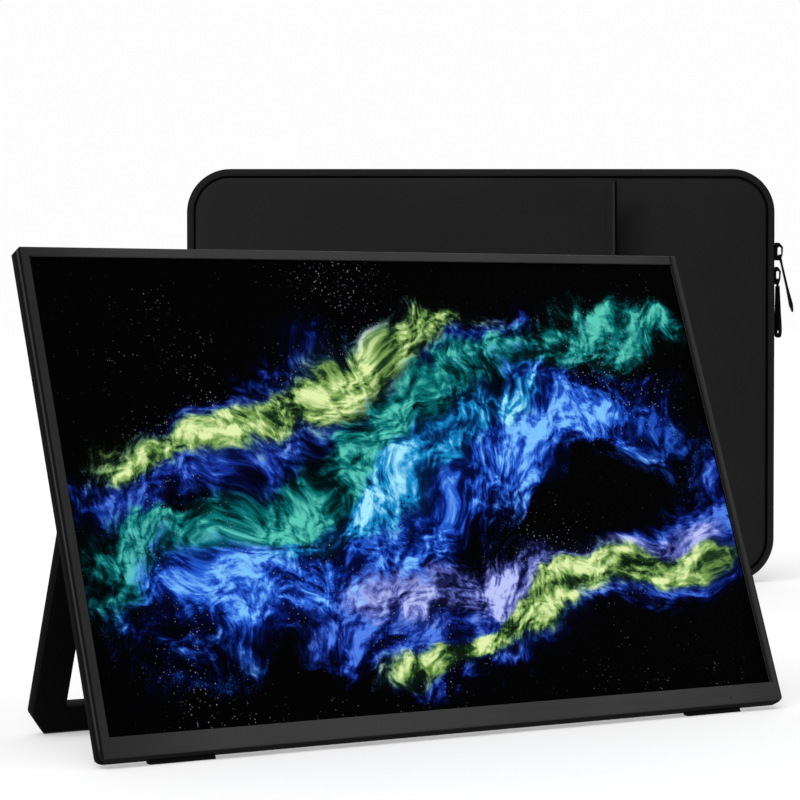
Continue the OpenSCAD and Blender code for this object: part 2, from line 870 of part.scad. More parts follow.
// The outline above the fold: up one side, over the top and down the other
module mouth_run(start = fold_y + fold_gap / 2) {
    inner = sleeve_half - sleeve_r;
    top = sleeve_h - sleeve_r;
    side_run(-1, start, top) children();
    side_run(1, start, top) children();
    corner_run(-inner, top, 90) children();
    corner_run(inner, top, 0) children();
    translate([-inner, sleeve_h, 0]) rotate([90, 0, 90])
        linear_extrude(2 * inner) children();
}

// The outline below the fold: down one side, along the base and up the other
module base_run() {
    inner = sleeve_half - sleeve_r;
    end = fold_y - fold_gap / 2;
    side_run(-1, sleeve_r, end) children();
    side_run(1, sleeve_r, end) children();
    corner_run(-inner, sleeve_r, 180) children();
    corner_run(inner, sleeve_r, 270) children();
    translate([inner, 0, 0]) rotate([90, 0, -90])
        linear_extrude(2 * inner) children();
}

// Section of the padded side band between two depths: its outside bulges
// and its inside lies flat
module band_section(z0, z1) {
    intersection() {
        translate([-band_r, 0]) circle(band_r);
        translate([-band_inside, z0]) square([band_r, z1 - z0]);
    }
}

module face_outline(inset, y0, y1) {
    intersection() {
        rounded_box_2d(-sleeve_half + inset, sleeve_half - inset,
                       inset, sleeve_h - inset, sleeve_r - inset);
        translate([-sleeve_w, y0]) square([2 * sleeve_w, y1 - y0]);
    }
}

rim_w = 1.7;

// A face's outer fabric: a sheet with its edge turned in to the side band
module face_fabric(y0, y1) {
    layer(half_t - fabric_t, half_t) face_outline(seam_inset, y0, y1);
    layer(face_in + touch, half_t - fabric_t / 2) difference() {
        face_outline(seam_inset, y0, y1);
        rounded_box_2d(-sleeve_half + seam_inset + rim_w, sleeve_half - seam_inset - rim_w,
                       seam_inset + rim_w, sleeve_h - seam_inset - rim_w,
                       sleeve_r - seam_inset - rim_w);
    }
}

module face_foam(y0, y1) {
    layer(face_in + lining_t + touch, half_t - fabric_t - touch)
        face_outline(seam_inset + rim_w + touch, y0, y1);
}

module face_lining(y0, y1) {
    layer(face_in, face_in + lining_t)
        face_outline(seam_inset + rim_w + touch, y0, y1);
}

below = fold_y - fold_gap / 2;
above = fold_y + fold_gap / 2;

module sleeve_back_face() {
    color("#1c1c1d") at_sleeve() mirror([0, 0, 1]) face_fabric(0, sleeve_h);
}

module sleeve_back_foam() {
    color("#3a3a3c") at_sleeve() mirror([0, 0, 1]) face_foam(0, sleeve_h);
}

module sleeve_back_lining() {
    color("#303033") at_sleeve() mirror([0, 0, 1]) face_lining(0, sleeve_h);
}

module sleeve_front_face() {
    color("#222223") at_sleeve() face_fabric(0, below);
}

module sleeve_front_foam() {
    color("#3a3a3c") at_sleeve() face_foam(0, below);
}

module sleeve_front_lining() {
    color("#303033") at_sleeve() face_lining(0, below);
}

module flap_face() {
    color("#222223") at_sleeve() face_fabric(above, sleeve_h);
}

module flap_foam() {
    color("#3a3a3c") at_sleeve() face_foam(above, sleeve_h);
}

module flap_lining() {
    color("#303033") at_sleeve() face_lining(above, sleeve_h);
}

module side_band() {
    color("#19191a") at_sleeve() difference() {
        base_run() band_section(-face_in, face_in);
        box([-sleeve_w, -cut, -sleeve_t], [sleeve_w, base_flat, sleeve_t]);
    }
}

module piping_section() {
    translate([piping_out - sleeve_half, piping_z]) circle(piping_r);
}

module piping_front() {
    color("#0b0b0b") at_sleeve() base_run() piping_section();
}

module flap_piping() {
    color("#0b0b0b") at_sleeve() mouth_run() piping_section();
}

module piping_back() {
    color("#0b0b0b") at_sleeve() mirror([0, 0, 1]) {
        base_run() piping_section();
        mouth_run(below) piping_section();
    }
}

// The slip pocket is sewn in on three sides and open along its right edge
module pocket(y0, y1) {
    hem = 3;
    module pocket_outline(inset) {
        intersection() {
            face_outline(seam_inset + inset, y0, y1);
            translate([-sleeve_w, 0]) square([sleeve_w + pocket_edge, sleeve_h]);
        }
    }
    layer(half_t + pocket_gap, half_t + pocket_gap + fabric_t) pocket_outline(0);
    layer(half_t + touch, half_t + pocket_gap + fabric_t / 2) difference() {
        pocket_outline(0);
        rounded_box_2d(-sleeve_half + seam_inset + hem, sleeve_half,
                       seam_inset + hem, sleeve_h - seam_inset - hem,
                       sleeve_r - seam_inset - hem);
    }
}

module pocket_panel() {
    color("#242425") at_sleeve() pocket(0, below);
}

module flap_pocket() {
    color("#242425") at_sleeve() pocket(above, sleeve_h);
}

module mouth_band_back() {
    color("#19191a") at_sleeve() mouth_run() band_section(-face_in, -zip_half);
}

module flap_band() {
    color("#19191a") at_sleeve() mouth_run() band_section(zip_half, face_in);
}

module tape_section() {
    translate([tape_n, chain_half]) square([tape_t, zip_half - chain_half]);
}

module zip_tape_front() {
    color("#101011") at_sleeve() mouth_run() tape_section();
}

module zip_tape_back() {
    color("#101011") at_sleeve() mirror([0, 0, 1]) mouth_run() tape_section();
}

// Half of the closed chain. It parts for the sliders on the right side.
module chain() {
    chain_start = fold_y + stop_len + 1.2;
    difference() {
        mouth_run(chain_start)
            translate([chain_n, 0.03]) square([chain_t, chain_half - 0.03]);
        box([sleeve_half - 2 * sleeve_r, fold_y, -chain_split],
            [sleeve_half + cut, split_top, chain_split]);
    }
}

module zip_chain_front() {
    color("#0e0e0f") at_sleeve() chain();
}

module zip_chain_back() {
    color("#0e0e0f") at_sleeve() mirror([0, 0, 1]) chain();
}

module zip_stops() {
    y0 = fold_y + 0.8;
    color("#77797d") at_sleeve() both_sides()
        box([sleeve_half + chain_n, y0, -chain_half + 0.1],
            [sleeve_half + chain_n + chain_t, y0 + stop_len, chain_half - 0.1]);
}

// A slider: two wings joined by a post between the rows of the chain,
// and a wire loop on the outer wing that carries the pull
module slider(y, loop_in, loop_out) {
    half = slider_len / 2;
    outer = chain_n + chain_t + wing_gap;
    inner = chain_n - wing_gap;
    translate([sleeve_half, y, 0]) {
        along_x(outer, outer + wing_t)
            rounded_box_2d(-half, half, -slider_half, slider_half, 1.4);
        along_x(inner - wing_t, inner)
            rounded_box_2d(-half, half, -slider_half, slider_half, 1.4);
        along_x(inner - wing_t / 2, outer + wing_t / 2)
            rounded_box_2d(-half * 0.5, half * 0.5, -0.55, 0.55, 0.5);
        layer(-loop_t / 2, loop_t / 2) difference() {
            polygon(rounded([
                [outer + wing_t / 2, -loop_h / 2, 0.4], [loop_out * 0.68, -loop_h / 2, 0.9],
                [loop_out - 0.3, -loop_h * 0.2, 2], [loop_out, loop_h * 0.25, 1.6],
                [loop_out * 0.55, loop_h / 2, 1.4], [outer + wing_t / 2, loop_h / 2, 0.4]]));
            rounded_box_2d(loop_in, loop_out - loop_wire, -loop_hole_h / 2, loop_hole_h / 2,
                           (loop_out - loop_wire - loop_in) / 2 - 0.02);
        }
    }
}

// A moulded pull that hangs at an angle. Its fork holds a pin through the
// loop, and its plate thickens towards the tip, where it has a hole.
module pull(y, loop_out, angle, twist) {
    prong_z = loop_t / 2 + prong_gap;
    fork_half = prong_z + prong_t;
    plate_len = pull_len - pull_neck - 0.6;
    thin = pull_thin / 2;
    thick = pull_t / 2;
    wide = pull_w / 2;
    translate([sleeve_half + loop_out - pull_pin_in, y - pull_drop, 0])
        rotate([0, 0, angle]) {
            rod_z(-fork_half, fork_half, pull_pin_r);
            both_ends() layer(prong_z, fork_half) {
                circle(prong_w / 2);
                translate([-prong_w / 2, -pull_neck - 0.6]) square([prong_w, pull_neck + 0.6]);
            }
            box([-prong_w / 2, -pull_neck - 1.2, -fork_half], [prong_w / 2, -pull_neck, fork_half]);
            translate([0, -pull_neck - 0.6, 0]) rotate([0, twist, 0]) difference() {
                intersection() {
                    layer(-wide, wide) polygon(rounded([
                        [-thin, 0, 0], [-thin, -plate_len * 0.5, 6],
                        [-thick, -plate_len * 0.86, 3], [-thick / 4, -plate_len, 0.2],
                        [thick / 4, -plate_len, 0.2], [thick, -plate_len * 0.86, 3],
                        [thin, -plate_len * 0.5, 6], [thin, 0, 0]]));
                    along_x(-thick, thick) polygon(rounded([
                        [0, -wide * 0.6, 0], [0, wide * 0.6, 0],
                        [-plate_len * 0.7, wide, 4], [-plate_len, wide, 1.5],
                        [-plate_len, -wide, 1.5], [-plate_len * 0.7, -wide, 4]]));
                }
                translate([0, 3.5 - plate_len, 0]) rod_x(-pull_t, pull_t, pull_hole_r);
            }
        }
}

module slider_upper() {
    color("#0c0c0d") at_sleeve() slider(slider_upper_y, loop_in_upper, loop_out_upper);
}

module slider_lower() {
    color("#0c0c0d") at_sleeve() slider(slider_lower_y, loop_in_lower, loop_out_lower);
}

module pull_upper() {
    color("#080808") at_sleeve()
        pull(slider_upper_y, loop_out_upper, pull_lean_upper, 0);
}

module pull_lower() {
    color("#080808") at_sleeve()
        pull(slider_lower_y, loop_out_lower, pull_lean_lower, pull_twist_lower);
}

front_frame();
display_panel();
backlight_unit();
chassis_plate();
rear_cover();
status_lens();
foot_left();
foot_right();
driver_board();
control_board();
panel_flex();
usb_port_upper();
usb_port_lower();
hdmi_port();
audio_jack();
power_switch();
rocker_switches();
power_button();
menu_rocker();
speaker_left();
speaker_right();
hinge_bracket_left();
hinge_bracket_right();
bracket_screws();
cover_screws();
board_screws();
kickstand();
hinge_pins();
kickstand_strip();
sleeve_back_face();
sleeve_back_foam();
sleeve_back_lining();
sleeve_front_face();
sleeve_front_foam();
sleeve_front_lining();
side_band();
piping_back();
piping_front();
pocket_panel();
mouth_band_back();
zip_tape_back();
zip_chain_back();
zip_stops();
flap_face();
flap_foam();
flap_lining();
flap_piping();
flap_pocket();
flap_band();
zip_tape_front();
zip_chain_front();
slider_upper();
slider_lower();
pull_upper();
pull_lower();
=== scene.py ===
"""Portable monitor on its kickstand with its padded zip sleeve: looks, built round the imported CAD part."""
import json
import math

import bmesh
import bpy
from mathutils import Matrix, Vector, noise

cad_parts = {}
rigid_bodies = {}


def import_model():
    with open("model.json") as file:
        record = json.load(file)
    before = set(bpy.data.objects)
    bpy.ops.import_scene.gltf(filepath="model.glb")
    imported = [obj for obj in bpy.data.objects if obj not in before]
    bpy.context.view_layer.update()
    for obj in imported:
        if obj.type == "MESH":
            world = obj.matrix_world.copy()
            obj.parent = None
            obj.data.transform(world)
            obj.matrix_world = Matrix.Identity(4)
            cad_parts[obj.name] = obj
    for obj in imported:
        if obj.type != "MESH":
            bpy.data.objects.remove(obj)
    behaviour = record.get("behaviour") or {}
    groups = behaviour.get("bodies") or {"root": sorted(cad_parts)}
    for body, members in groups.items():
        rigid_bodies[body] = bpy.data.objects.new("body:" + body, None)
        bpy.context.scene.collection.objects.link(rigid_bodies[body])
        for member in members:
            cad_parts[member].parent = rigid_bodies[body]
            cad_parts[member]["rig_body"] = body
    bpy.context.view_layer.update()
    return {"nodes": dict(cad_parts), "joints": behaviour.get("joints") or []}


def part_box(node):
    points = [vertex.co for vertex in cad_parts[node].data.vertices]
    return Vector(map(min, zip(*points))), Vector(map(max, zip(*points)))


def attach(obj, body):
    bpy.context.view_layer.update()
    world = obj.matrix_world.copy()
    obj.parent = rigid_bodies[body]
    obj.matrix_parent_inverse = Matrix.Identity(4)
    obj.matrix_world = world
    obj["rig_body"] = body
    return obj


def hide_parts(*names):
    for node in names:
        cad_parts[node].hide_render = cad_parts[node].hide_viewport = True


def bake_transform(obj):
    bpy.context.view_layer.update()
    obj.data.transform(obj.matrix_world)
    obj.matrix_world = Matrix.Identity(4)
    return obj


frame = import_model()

scene = bpy.context.scene
MM = 0.001

# ------------------------------------------------------------------ places
TILT = math.radians(22)
SLEEVE_TURN = math.radians(-30.84)
JOINTS = {j["name"]: j for j in frame["joints"]}
STAND_HINGE = Vector((0, 99.5, -10.1))   # in the panel frame, in mm
FOLD_Y = 170.0                   # height of the zip's two ends, where the mouth's flap folds
MOUTH_HINGE = Vector((0, FOLD_Y, 11.9))  # in the sleeve frame, in mm

# Panel frame: x right, y up the screen, z out of it, from the middle of the screen's lower edge
PANEL_AXES = Matrix.Rotation(math.pi / 2 - TILT, 3, "X")
PANEL_ORIGIN = Vector(JOINTS["kickstand_fold"]["pos_m"]) - PANEL_AXES @ STAND_HINGE * MM

# Sleeve frame: x right, y up, z out of its face, from the middle of its base
SLEEVE_AXES = Matrix.Rotation(SLEEVE_TURN, 3, "Z") @ Matrix.Rotation(math.pi / 2, 3, "X")
SLEEVE_ORIGIN = Vector(JOINTS["mouth_open"]["pos_m"]) - SLEEVE_AXES @ MOUTH_HINGE * MM


def sleeve(x, y, z):
    """A place in the scene from one in the sleeve's frame, in millimetres."""
    return SLEEVE_ORIGIN + SLEEVE_AXES @ Vector((x, y, z)) * MM


# The monitor's own sizes as in the CAD source, in metres as its materials need them
SCREEN_W, SCREEN_H = 286.5 * MM, 179.1 * MM
SIDE_RIM = 4.0 * MM
CHIN = 8.5 * MM                  # the frame's height below the screen

# The sleeve's outline and pocket, in mm, as in the CAD source
HALF_W, HEIGHT, CORNER = 172.5, 243.0, 26.0
POCKET_EDGE = 79.0               # from the middle to the pocket's open edge

# What the scene shapes on them, also in mm
SEAM = 5.9                       # from the outline to a face's seam
BAND_FALL, BAND_RISE = 5.8, 8.6  # the band's section is part of an ellipse with these half axes
BAND_EDGE = 8.5                  # how far the band reaches to the front and the back
BAND_IN = 5.2                    # how far inside the outline the band ends
LINING_Z = 7.05                  # depth of the faces' lining in front of and behind the middle
MOUTH_LOW = FOLD_Y - 4           # where the mouth's two bands begin
LIP = 0.8                        # how much of the bands' edges beside the zip is turned in
CORD_OUT, CORD_Z, CORD_R = -5.35, 8.4, 0.65   # the seam cords' middle line and radius
STITCH_PITCH = 3.0
COIL_PITCH = 1.5                 # from one tooth of the zip to the next in its row
PATH_STEP = 2.4                  # from one section to the next along the sleeve's outline
FLOOR_Y = 0.35                   # the base is flat up to here

# ------------------------------------------------------------------ camera
camera_data = bpy.data.cameras.new("camera")
camera_data.lens = 125.0
camera_data.sensor_width = 36.0
camera_data.clip_start = 0.05
camera_data.clip_end = 60
camera = bpy.data.objects.new("camera", camera_data)
camera.location = PANEL_ORIGIN + Vector((-0.5431, -0.8638, 0.1421))
camera.rotation_euler = (math.radians(88.39), 0, SLEEVE_TURN)
scene.collection.objects.link(camera)
scene.camera = camera


# ------------------------------------------------------- material building
class Shade:
    """A small helper that strings shader nodes together."""

    def __init__(self, name):
        self.mat = bpy.data.materials.new(name)
        self.mat.use_nodes = True
        self.tree = self.mat.node_tree
        self.tree.nodes.clear()
        self.out = self.tree.nodes.new("ShaderNodeOutputMaterial")

    def node(self, kind, values=(), **props):
        made = self.tree.nodes.new("ShaderNode" + kind)
        for key, value in props.items():
            setattr(made, key, value)
        for key, value in dict(values).items():
            self.put(made.inputs[key], value)
        return made

    def put(self, socket, value):
        if isinstance(value, bpy.types.NodeSocket):
            self.tree.links.new(value, socket)
        elif isinstance(value, bpy.types.Node):
            self.tree.links.new(value.outputs[0], socket)
        else:
            socket.default_value = value

    def math(self, op, a, b=0.0):
        return self.node("Math", {0: a, 1: b}, operation=op).outputs[0]

    def vec(self, op, a, b=(0, 0, 0)):
        made = self.node("VectorMath", {0: a, 1: b}, operation=op)
        return made.outputs["Value"] if op in ("DOT_PRODUCT", "LENGTH", "DISTANCE") else made.outputs[0]

    def step(self, value, low, high):
        made = self.node("MapRange", {"Value": value, "From Min": low, "From Max": high},
                         interpolation_type="SMOOTHSTEP")
        return made.outputs[0]

    def noise(self, at, scale, detail=4, rough=0.5):
        made = self.node("TexNoise", {"Vector": at, "Scale": scale, "Detail": detail, "Roughness": rough})
        return made.outputs["Fac"]

    def mix(self, fac, a, b):
        made = self.node("Mix", data_type="RGBA", clamp_factor=True)
        for key, value in (("Factor_Float", fac), ("A_Color", a), ("B_Color", b)):
            self.put(next(s for s in made.inputs if s.identifier == key), value)
        return next(s for s in made.outputs if s.identifier == "Result_Color")

    def bump(self, height, strength, distance, normal=None):
        values = {"Height": height, "Strength": strength, "Distance": distance}
        if normal is not None:
            values["Normal"] = normal
        return self.node("Bump", values).outputs[0]

    def principled(self, **values):
        made = self.node("BsdfPrincipled", {k.replace("_", " "): v for k, v in values.items()})
        self.tree.links.new(made.outputs[0], self.out.inputs[0])
        return self.mat


def grey(value, tint=(1, 1, 1)):
    """A linear colour from an 8-bit screen grey."""
    s = value / 255
    lin = s / 12.92 if s <= 0.04045 else ((s + 0.055) / 1.055) ** 2.4
    return (lin * tint[0], lin * tint[1], lin * tint[2], 1)


def object_place(s):
    """The coordinates that the grain and the threads of a piece are laid in."""
    return s.node("TexCoord").outputs["Object"]


def moulded(name, low, high, rough=0.5, specular=0.12, grain=2600, relief=0.00002, tint=(1, 1, 1.02)):
    """Moulded plastic or powder paint: a fine even grain, slow changes in tone, a little wear."""
    s = Shade(name)
    at = object_place(s)
    cloud = s.noise(at, 22, 3, 0.55)
    fine = s.noise(at, grain, 2, 0.6)
    tone = s.math("ADD", s.math("MULTIPLY", cloud, 0.7), s.math("MULTIPLY", fine, 0.3))
    color = s.mix(s.step(tone, 0.3, 0.7), grey(low, tint), grey(high, tint))
    gloss = s.math("ADD", rough - 0.05, s.math("MULTIPLY", s.noise(at, 60, 3), 0.1))
    normal = s.bump(fine, 0.35, relief)
    return s.principled(Base_Color=color, Roughness=gloss, Specular_IOR_Level=specular, Normal=normal)


def metal(name, color, rough=0.3, streak=(1, 1, 1)):
    """Bare metal with fine lines, drawn out along the axes where the streak is small."""
    s = Shade(name)
    at = s.vec("MULTIPLY", object_place(s), streak)
    lines = s.noise(at, 900, 3, 0.6)
    tone = s.mix(s.step(lines, 0.25, 0.75), [c * 0.82 for c in color] + [1], list(color) + [1])
    gloss = s.math("ADD", rough - 0.06, s.math("MULTIPLY", lines, 0.14))
    return s.principled(Base_Color=tone, Metallic=1.0, Roughness=gloss,
                        Normal=s.bump(lines, 0.25, 0.00001))


def rubber(name, value):
    """Black rubber with a little dust in its grain."""
    s = Shade(name)
    at = object_place(s)
    fine = s.noise(at, 1800, 3, 0.7)
    dust = s.step(s.noise(at, 130, 5, 0.7), 0.52, 0.8)
    color = s.mix(s.math("MULTIPLY", dust, 0.4), grey(value), grey(value + 12))
    return s.principled(Base_Color=color, Roughness=s.math("ADD", 0.62, s.math("MULTIPLY", fine, 0.2)),
                        Specular_IOR_Level=0.08, Normal=s.bump(fine, 0.4, 0.00003))


def cloth(name, low, high, pitch=0.45, relief=0.00004, sheen=0.01, rough=0.7, specular=0.008,
          painted_fade=0.0, pocket_shadow=None):
    """Close woven fabric. The UV map runs along its threads, in millimetres. It can carry painted shading, a
    change in tone per millimetre, and a painted shadow of the pocket's edge: a stretch beyond the pocket's
    mouth over which the cloth turns from a painted dark to its own tone. Above the mouth's end no shadow is
    painted."""
    s = Shade(name)
    uv = s.node("UVMap", uv_map="threads").outputs[0]
    part = s.node("SeparateXYZ", {0: uv})
    turn = math.pi / pitch
    warp = s.math("SINE", s.math("MULTIPLY", part.outputs["X"], turn))
    weft = s.math("SINE", s.math("MULTIPLY", part.outputs["Y"], turn))
    over = s.math("MULTIPLY", warp, weft)                      # which thread lies on top
    ribs = s.math("MAXIMUM", s.math("MULTIPLY", s.math("ABSOLUTE", warp), s.step(over, -0.2, 0.5)),
                  s.math("MULTIPLY", s.math("ABSOLUTE", weft), s.step(over, 0.2, -0.5)))
    at = object_place(s)
    slub = s.noise(s.vec("MULTIPLY", uv, (0.9, 0.12, 1)), 1.0, 3, 0.6)
    cloud = s.noise(at, 14, 4, 0.55)
    tone = s.math("ADD", s.math("MULTIPLY", ribs, 0.35),
                  s.math("ADD", s.math("MULTIPLY", slub, 0.25), s.math("MULTIPLY", cloud, 0.4)))
    # painted shading: the tone drifts with x across the cloth
    if painted_fade:
        tone = s.math("ADD", tone, s.math("MULTIPLY", part.outputs["X"], painted_fade))
    color = s.mix(s.step(tone, 0.25, 0.75), grey(low), grey(high))
    if pocket_shadow:
        # painted shadow of the pocket's edge beside its mouth, none painted above the mouth's end
        mouth_end = (208, 228)
        clear = s.math("MAXIMUM", s.step(part.outputs["X"], *pocket_shadow), s.step(part.outputs["Y"], *mouth_end))
        color = s.mix(clear, grey(low - 7), color)
    height = s.math("ADD", ribs, s.math("MULTIPLY", slub, 0.4))
    fluff = s.noise(at, 700, 3, 0.6)
    normal = s.bump(height, 0.5, relief, s.bump(fluff, 0.15, 0.00005))
    gloss = s.math("ADD", rough - 0.05, s.math("MULTIPLY", fluff, 0.1))
    return s.principled(Base_Color=color, Roughness=gloss, Specular_IOR_Level=specular,
                        Sheen_Weight=sheen, Sheen_Roughness=0.45, Sheen_Tint=(0.8, 0.8, 0.82, 1),
                        Normal=normal)


# ---------------------------------------------------------------- screen
def panel_place(s):
    """Place in the panel's frame: x right, y up the screen and z out of it, in metres."""
    at = s.vec("SUBTRACT", object_place(s), tuple(PANEL_ORIGIN))
    return [s.vec("DOT_PRODUCT", at, tuple(PANEL_AXES.col[k])) for k in range(3)]


def screen_material():
    """Banks of coloured mist that drift over black, with fine sparks. A generic design."""
    s = Shade("screen_picture")
    x, y, _ = panel_place(s)
    u, v = s.math("DIVIDE", x, SCREEN_W), s.math("DIVIDE", y, SCREEN_W)
    flat = s.node("CombineXYZ", {0: u, 1: v, 2: 0.0}).outputs[0]

    def field(at, scale, detail, rough, out="Fac"):
        return s.node("TexNoise", {"Vector": at, "Scale": scale, "Detail": detail, "Roughness": rough},
                      noise_dimensions="2D").outputs[out]

    def drift(at, scale, amount, seed):
        push = s.vec("SUBTRACT", field(s.vec("ADD", at, (seed, seed * 0.7, 0)), scale, 3.0, 0.5, "Color"),
                     (0.5, 0.5, 0.5))
        return s.vec("ADD", at, s.vec("MULTIPLY", push, (amount, amount, 0)))

    warped = drift(drift(flat, 2.6, 0.20, 3.1), 8.0, 0.06, 8.4)
    finer = drift(warped, 18.0, 0.022, 6.6)
    # each mist twice, the second time a little towards the light, so that its slopes show
    cloud, cloud_lit = (field(s.vec("ADD", warped, towards), 6.0, 6.0, 0.52)
                        for towards in ((0, 0, 0), (-0.016, 0.02, 0)))
    curl, curl_lit = (field(s.vec("ADD", finer, towards), 26.0, 9.0, 0.60)
                      for towards in ((0, 0, 0), (-0.004, 0.005, 0)))
    grain = field(flat, 420.0, 2.0, 0.6)
    cloud_up = s.math("SUBTRACT", cloud, 0.5)
    curl_up = s.math("SUBTRACT", curl, 0.5)
    relief = s.math("ADD", s.math("MULTIPLY", s.math("SUBTRACT", cloud, cloud_lit), 2.6),
                    s.math("MULTIPLY", s.math("SUBTRACT", curl, curl_lit), 2.1))
    rough = s.math("ADD", s.math("MULTIPLY", cloud_up, 2.1), s.math("MULTIPLY", curl_up, 1.5))
    part = s.node("SeparateXYZ", {0: warped})
    wu, wv = part.outputs["X"], part.outputs["Y"]

    def bank(base, slope, swing, rate, phase, width, left, right, colors):
        """Mist along a wavy line v(u), between two ends: how dense it is and its colour."""
        line = s.math("ADD", s.math("MULTIPLY", wu, slope), base)
        wave = s.math("SINE", s.math("ADD", s.math("MULTIPLY", wu, rate), phase))
        line = s.math("ADD", line, s.math("MULTIPLY", wave, swing))
        swell = s.math("SINE", s.math("ADD", s.math("MULTIPLY", wu, rate * 1.7), phase * 2.3))
        reach = s.math("MULTIPLY", s.math("ADD", 1.0, s.math("MULTIPLY", swell, 0.35)), width)
        off = s.math("DIVIDE", s.math("SUBTRACT", wv, line), reach)
        bell = 2.718
        body = s.math("POWER", bell, s.math("MULTIPLY", s.math("MULTIPLY", off, off), -1.0))
        ends = s.math("MULTIPLY", s.step(wu, left, left + 0.28), s.step(wu, right, right - 0.28))
        body = s.math("MULTIPLY", body, ends)
        amount = s.math("ADD", s.math("MULTIPLY", body, 1.75), s.math("SUBTRACT", rough, 0.55))
        near = s.step(body, 0.03, 0.32)
        amount = s.math("ADD", s.math("MULTIPLY", amount, near), s.math("SUBTRACT", near, 1.0))
        dust = s.math("MULTIPLY", s.step(grain, 0.44, 0.66), s.step(amount, -0.55, 0.30))
        cover = s.math("MAXIMUM", s.step(amount, -0.05, 0.85), s.math("MULTIPLY", dust, 0.30))
        tone = s.math("ADD", s.math("ADD", s.math("MULTIPLY", s.step(amount, -0.1, 1.5), 0.55),
                                    s.math("MULTIPLY", curl_up, 0.9)), s.math("ADD", relief, 0.12))
        ramp = s.node("ValToRGB", {"Fac": tone})
        stops = ramp.color_ramp.elements
        stops[0].position, stops[0].color = 0.0, (*[c * 0.2 for c in colors[0]], 1)
        stops[1].position, stops[1].color = 1.0, (*colors[2], 1)
        stops.new(0.28).color = (*colors[0], 1)
        stops.new(0.62).color = (*colors[1], 1)
        return cover, ramp.outputs["Color"]

    blue = ((0.002, 0.015, 0.20), (0.02, 0.12, 0.70), (0.20, 0.55, 1.0))
    deep = ((0.001, 0.004, 0.06), (0.008, 0.035, 0.34), (0.08, 0.22, 0.85))
    cyan = ((0.002, 0.05, 0.20), (0.01, 0.30, 0.66), (0.38, 0.84, 1.0))
    teal = ((0.0, 0.03, 0.035), (0.003, 0.19, 0.19), (0.10, 0.60, 0.48))
    lime = ((0.015, 0.05, 0.015), (0.20, 0.38, 0.09), (0.76, 0.90, 0.42))
    violet = ((0.015, 0.02, 0.12), (0.12, 0.15, 0.52), (0.50, 0.56, 0.95))
    # base, slope, swing, rate, phase, width, left end, right end, colours
    banks = [
        (0.44, 0.20, 0.050, 7.0, 1.4, 0.075, -0.66, 0.40, deep),
        (0.47, 0.22, 0.045, 8.0, 1.2, 0.045, -0.56, 0.30, lime),
        (0.38, 0.26, 0.050, 7.0, 0.6, 0.065, -0.66, 0.44, teal),
        (0.16, 0.20, 0.060, 6.5, 3.4, 0.090, -0.56, 0.66, deep),
        (0.19, 0.20, 0.060, 6.5, 3.2, 0.055, -0.52, 0.54, violet),
        (0.46, 0.02, 0.045, 9.0, 4.2, 0.045, 0.0, 0.66, teal),
        (0.29, 0.24, 0.055, 6.8, 0.2, 0.085, -0.58, 0.60, blue),
        (0.33, 0.22, 0.050, 7.4, 0.5, 0.038, -0.36, 0.40, cyan),
        (0.10, 0.18, 0.035, 8.6, 4.6, 0.035, -0.20, 0.58, lime),
    ]
    picture = (0.0, 0.0, 0.0, 1)
    for one in banks:
        cover, color = bank(*one)
        picture = s.mix(cover, picture, color)
    # sparks, thicker near the mist
    cells = s.node("TexVoronoi", {"Vector": flat, "Scale": 330.0, "Randomness": 1.0}, feature="F1",
                   voronoi_dimensions="2D")
    pick = s.node("SeparateColor", {0: cells.outputs["Color"]})
    near = s.step(field(drift(flat, 3.2, 0.16, 3.1), 4.0, 4.0, 0.6), 0.42, 0.66)
    near = s.math("MULTIPLY", near, s.math("MULTIPLY", s.step(u, -0.50, -0.40), s.step(u, 0.50, 0.40)))
    rare = s.step(s.math("ADD", pick.outputs[0], s.math("MULTIPLY", near, 0.16)), 0.97, 1.16)
    dot = s.step(cells.outputs["Distance"], 0.34, 0.12)
    spark = s.math("MULTIPLY", s.math("MULTIPLY", rare, dot), s.math("MULTIPLY", 0.8, pick.outputs[1]))
    glow = s.mix(pick.outputs[2], (0.26, 0.36, 0.52, 1), (0.55, 0.58, 0.52, 1))
    picture = s.mix(spark, picture, glow)
    # the picture stops just inside the panel's edge
    top = round(SCREEN_H / SCREEN_W, 4)
    inside = s.math("MULTIPLY", s.step(s.math("ABSOLUTE", u), 0.4985, 0.4975),
                    s.math("MULTIPLY", s.step(v, 0.0012, 0.0022), s.step(v, top - 0.0012, top - 0.0022)))
    picture = s.mix(inside, (0, 0, 0, 1), picture)
    glass = s.mix(s.noise(object_place(s), 5000, 1), grey(0), grey(2))
    return s.principled(Base_Color=glass, Roughness=0.45, Specular_IOR_Level=0.006,
                        Emission_Color=picture, Emission_Strength=1.0)


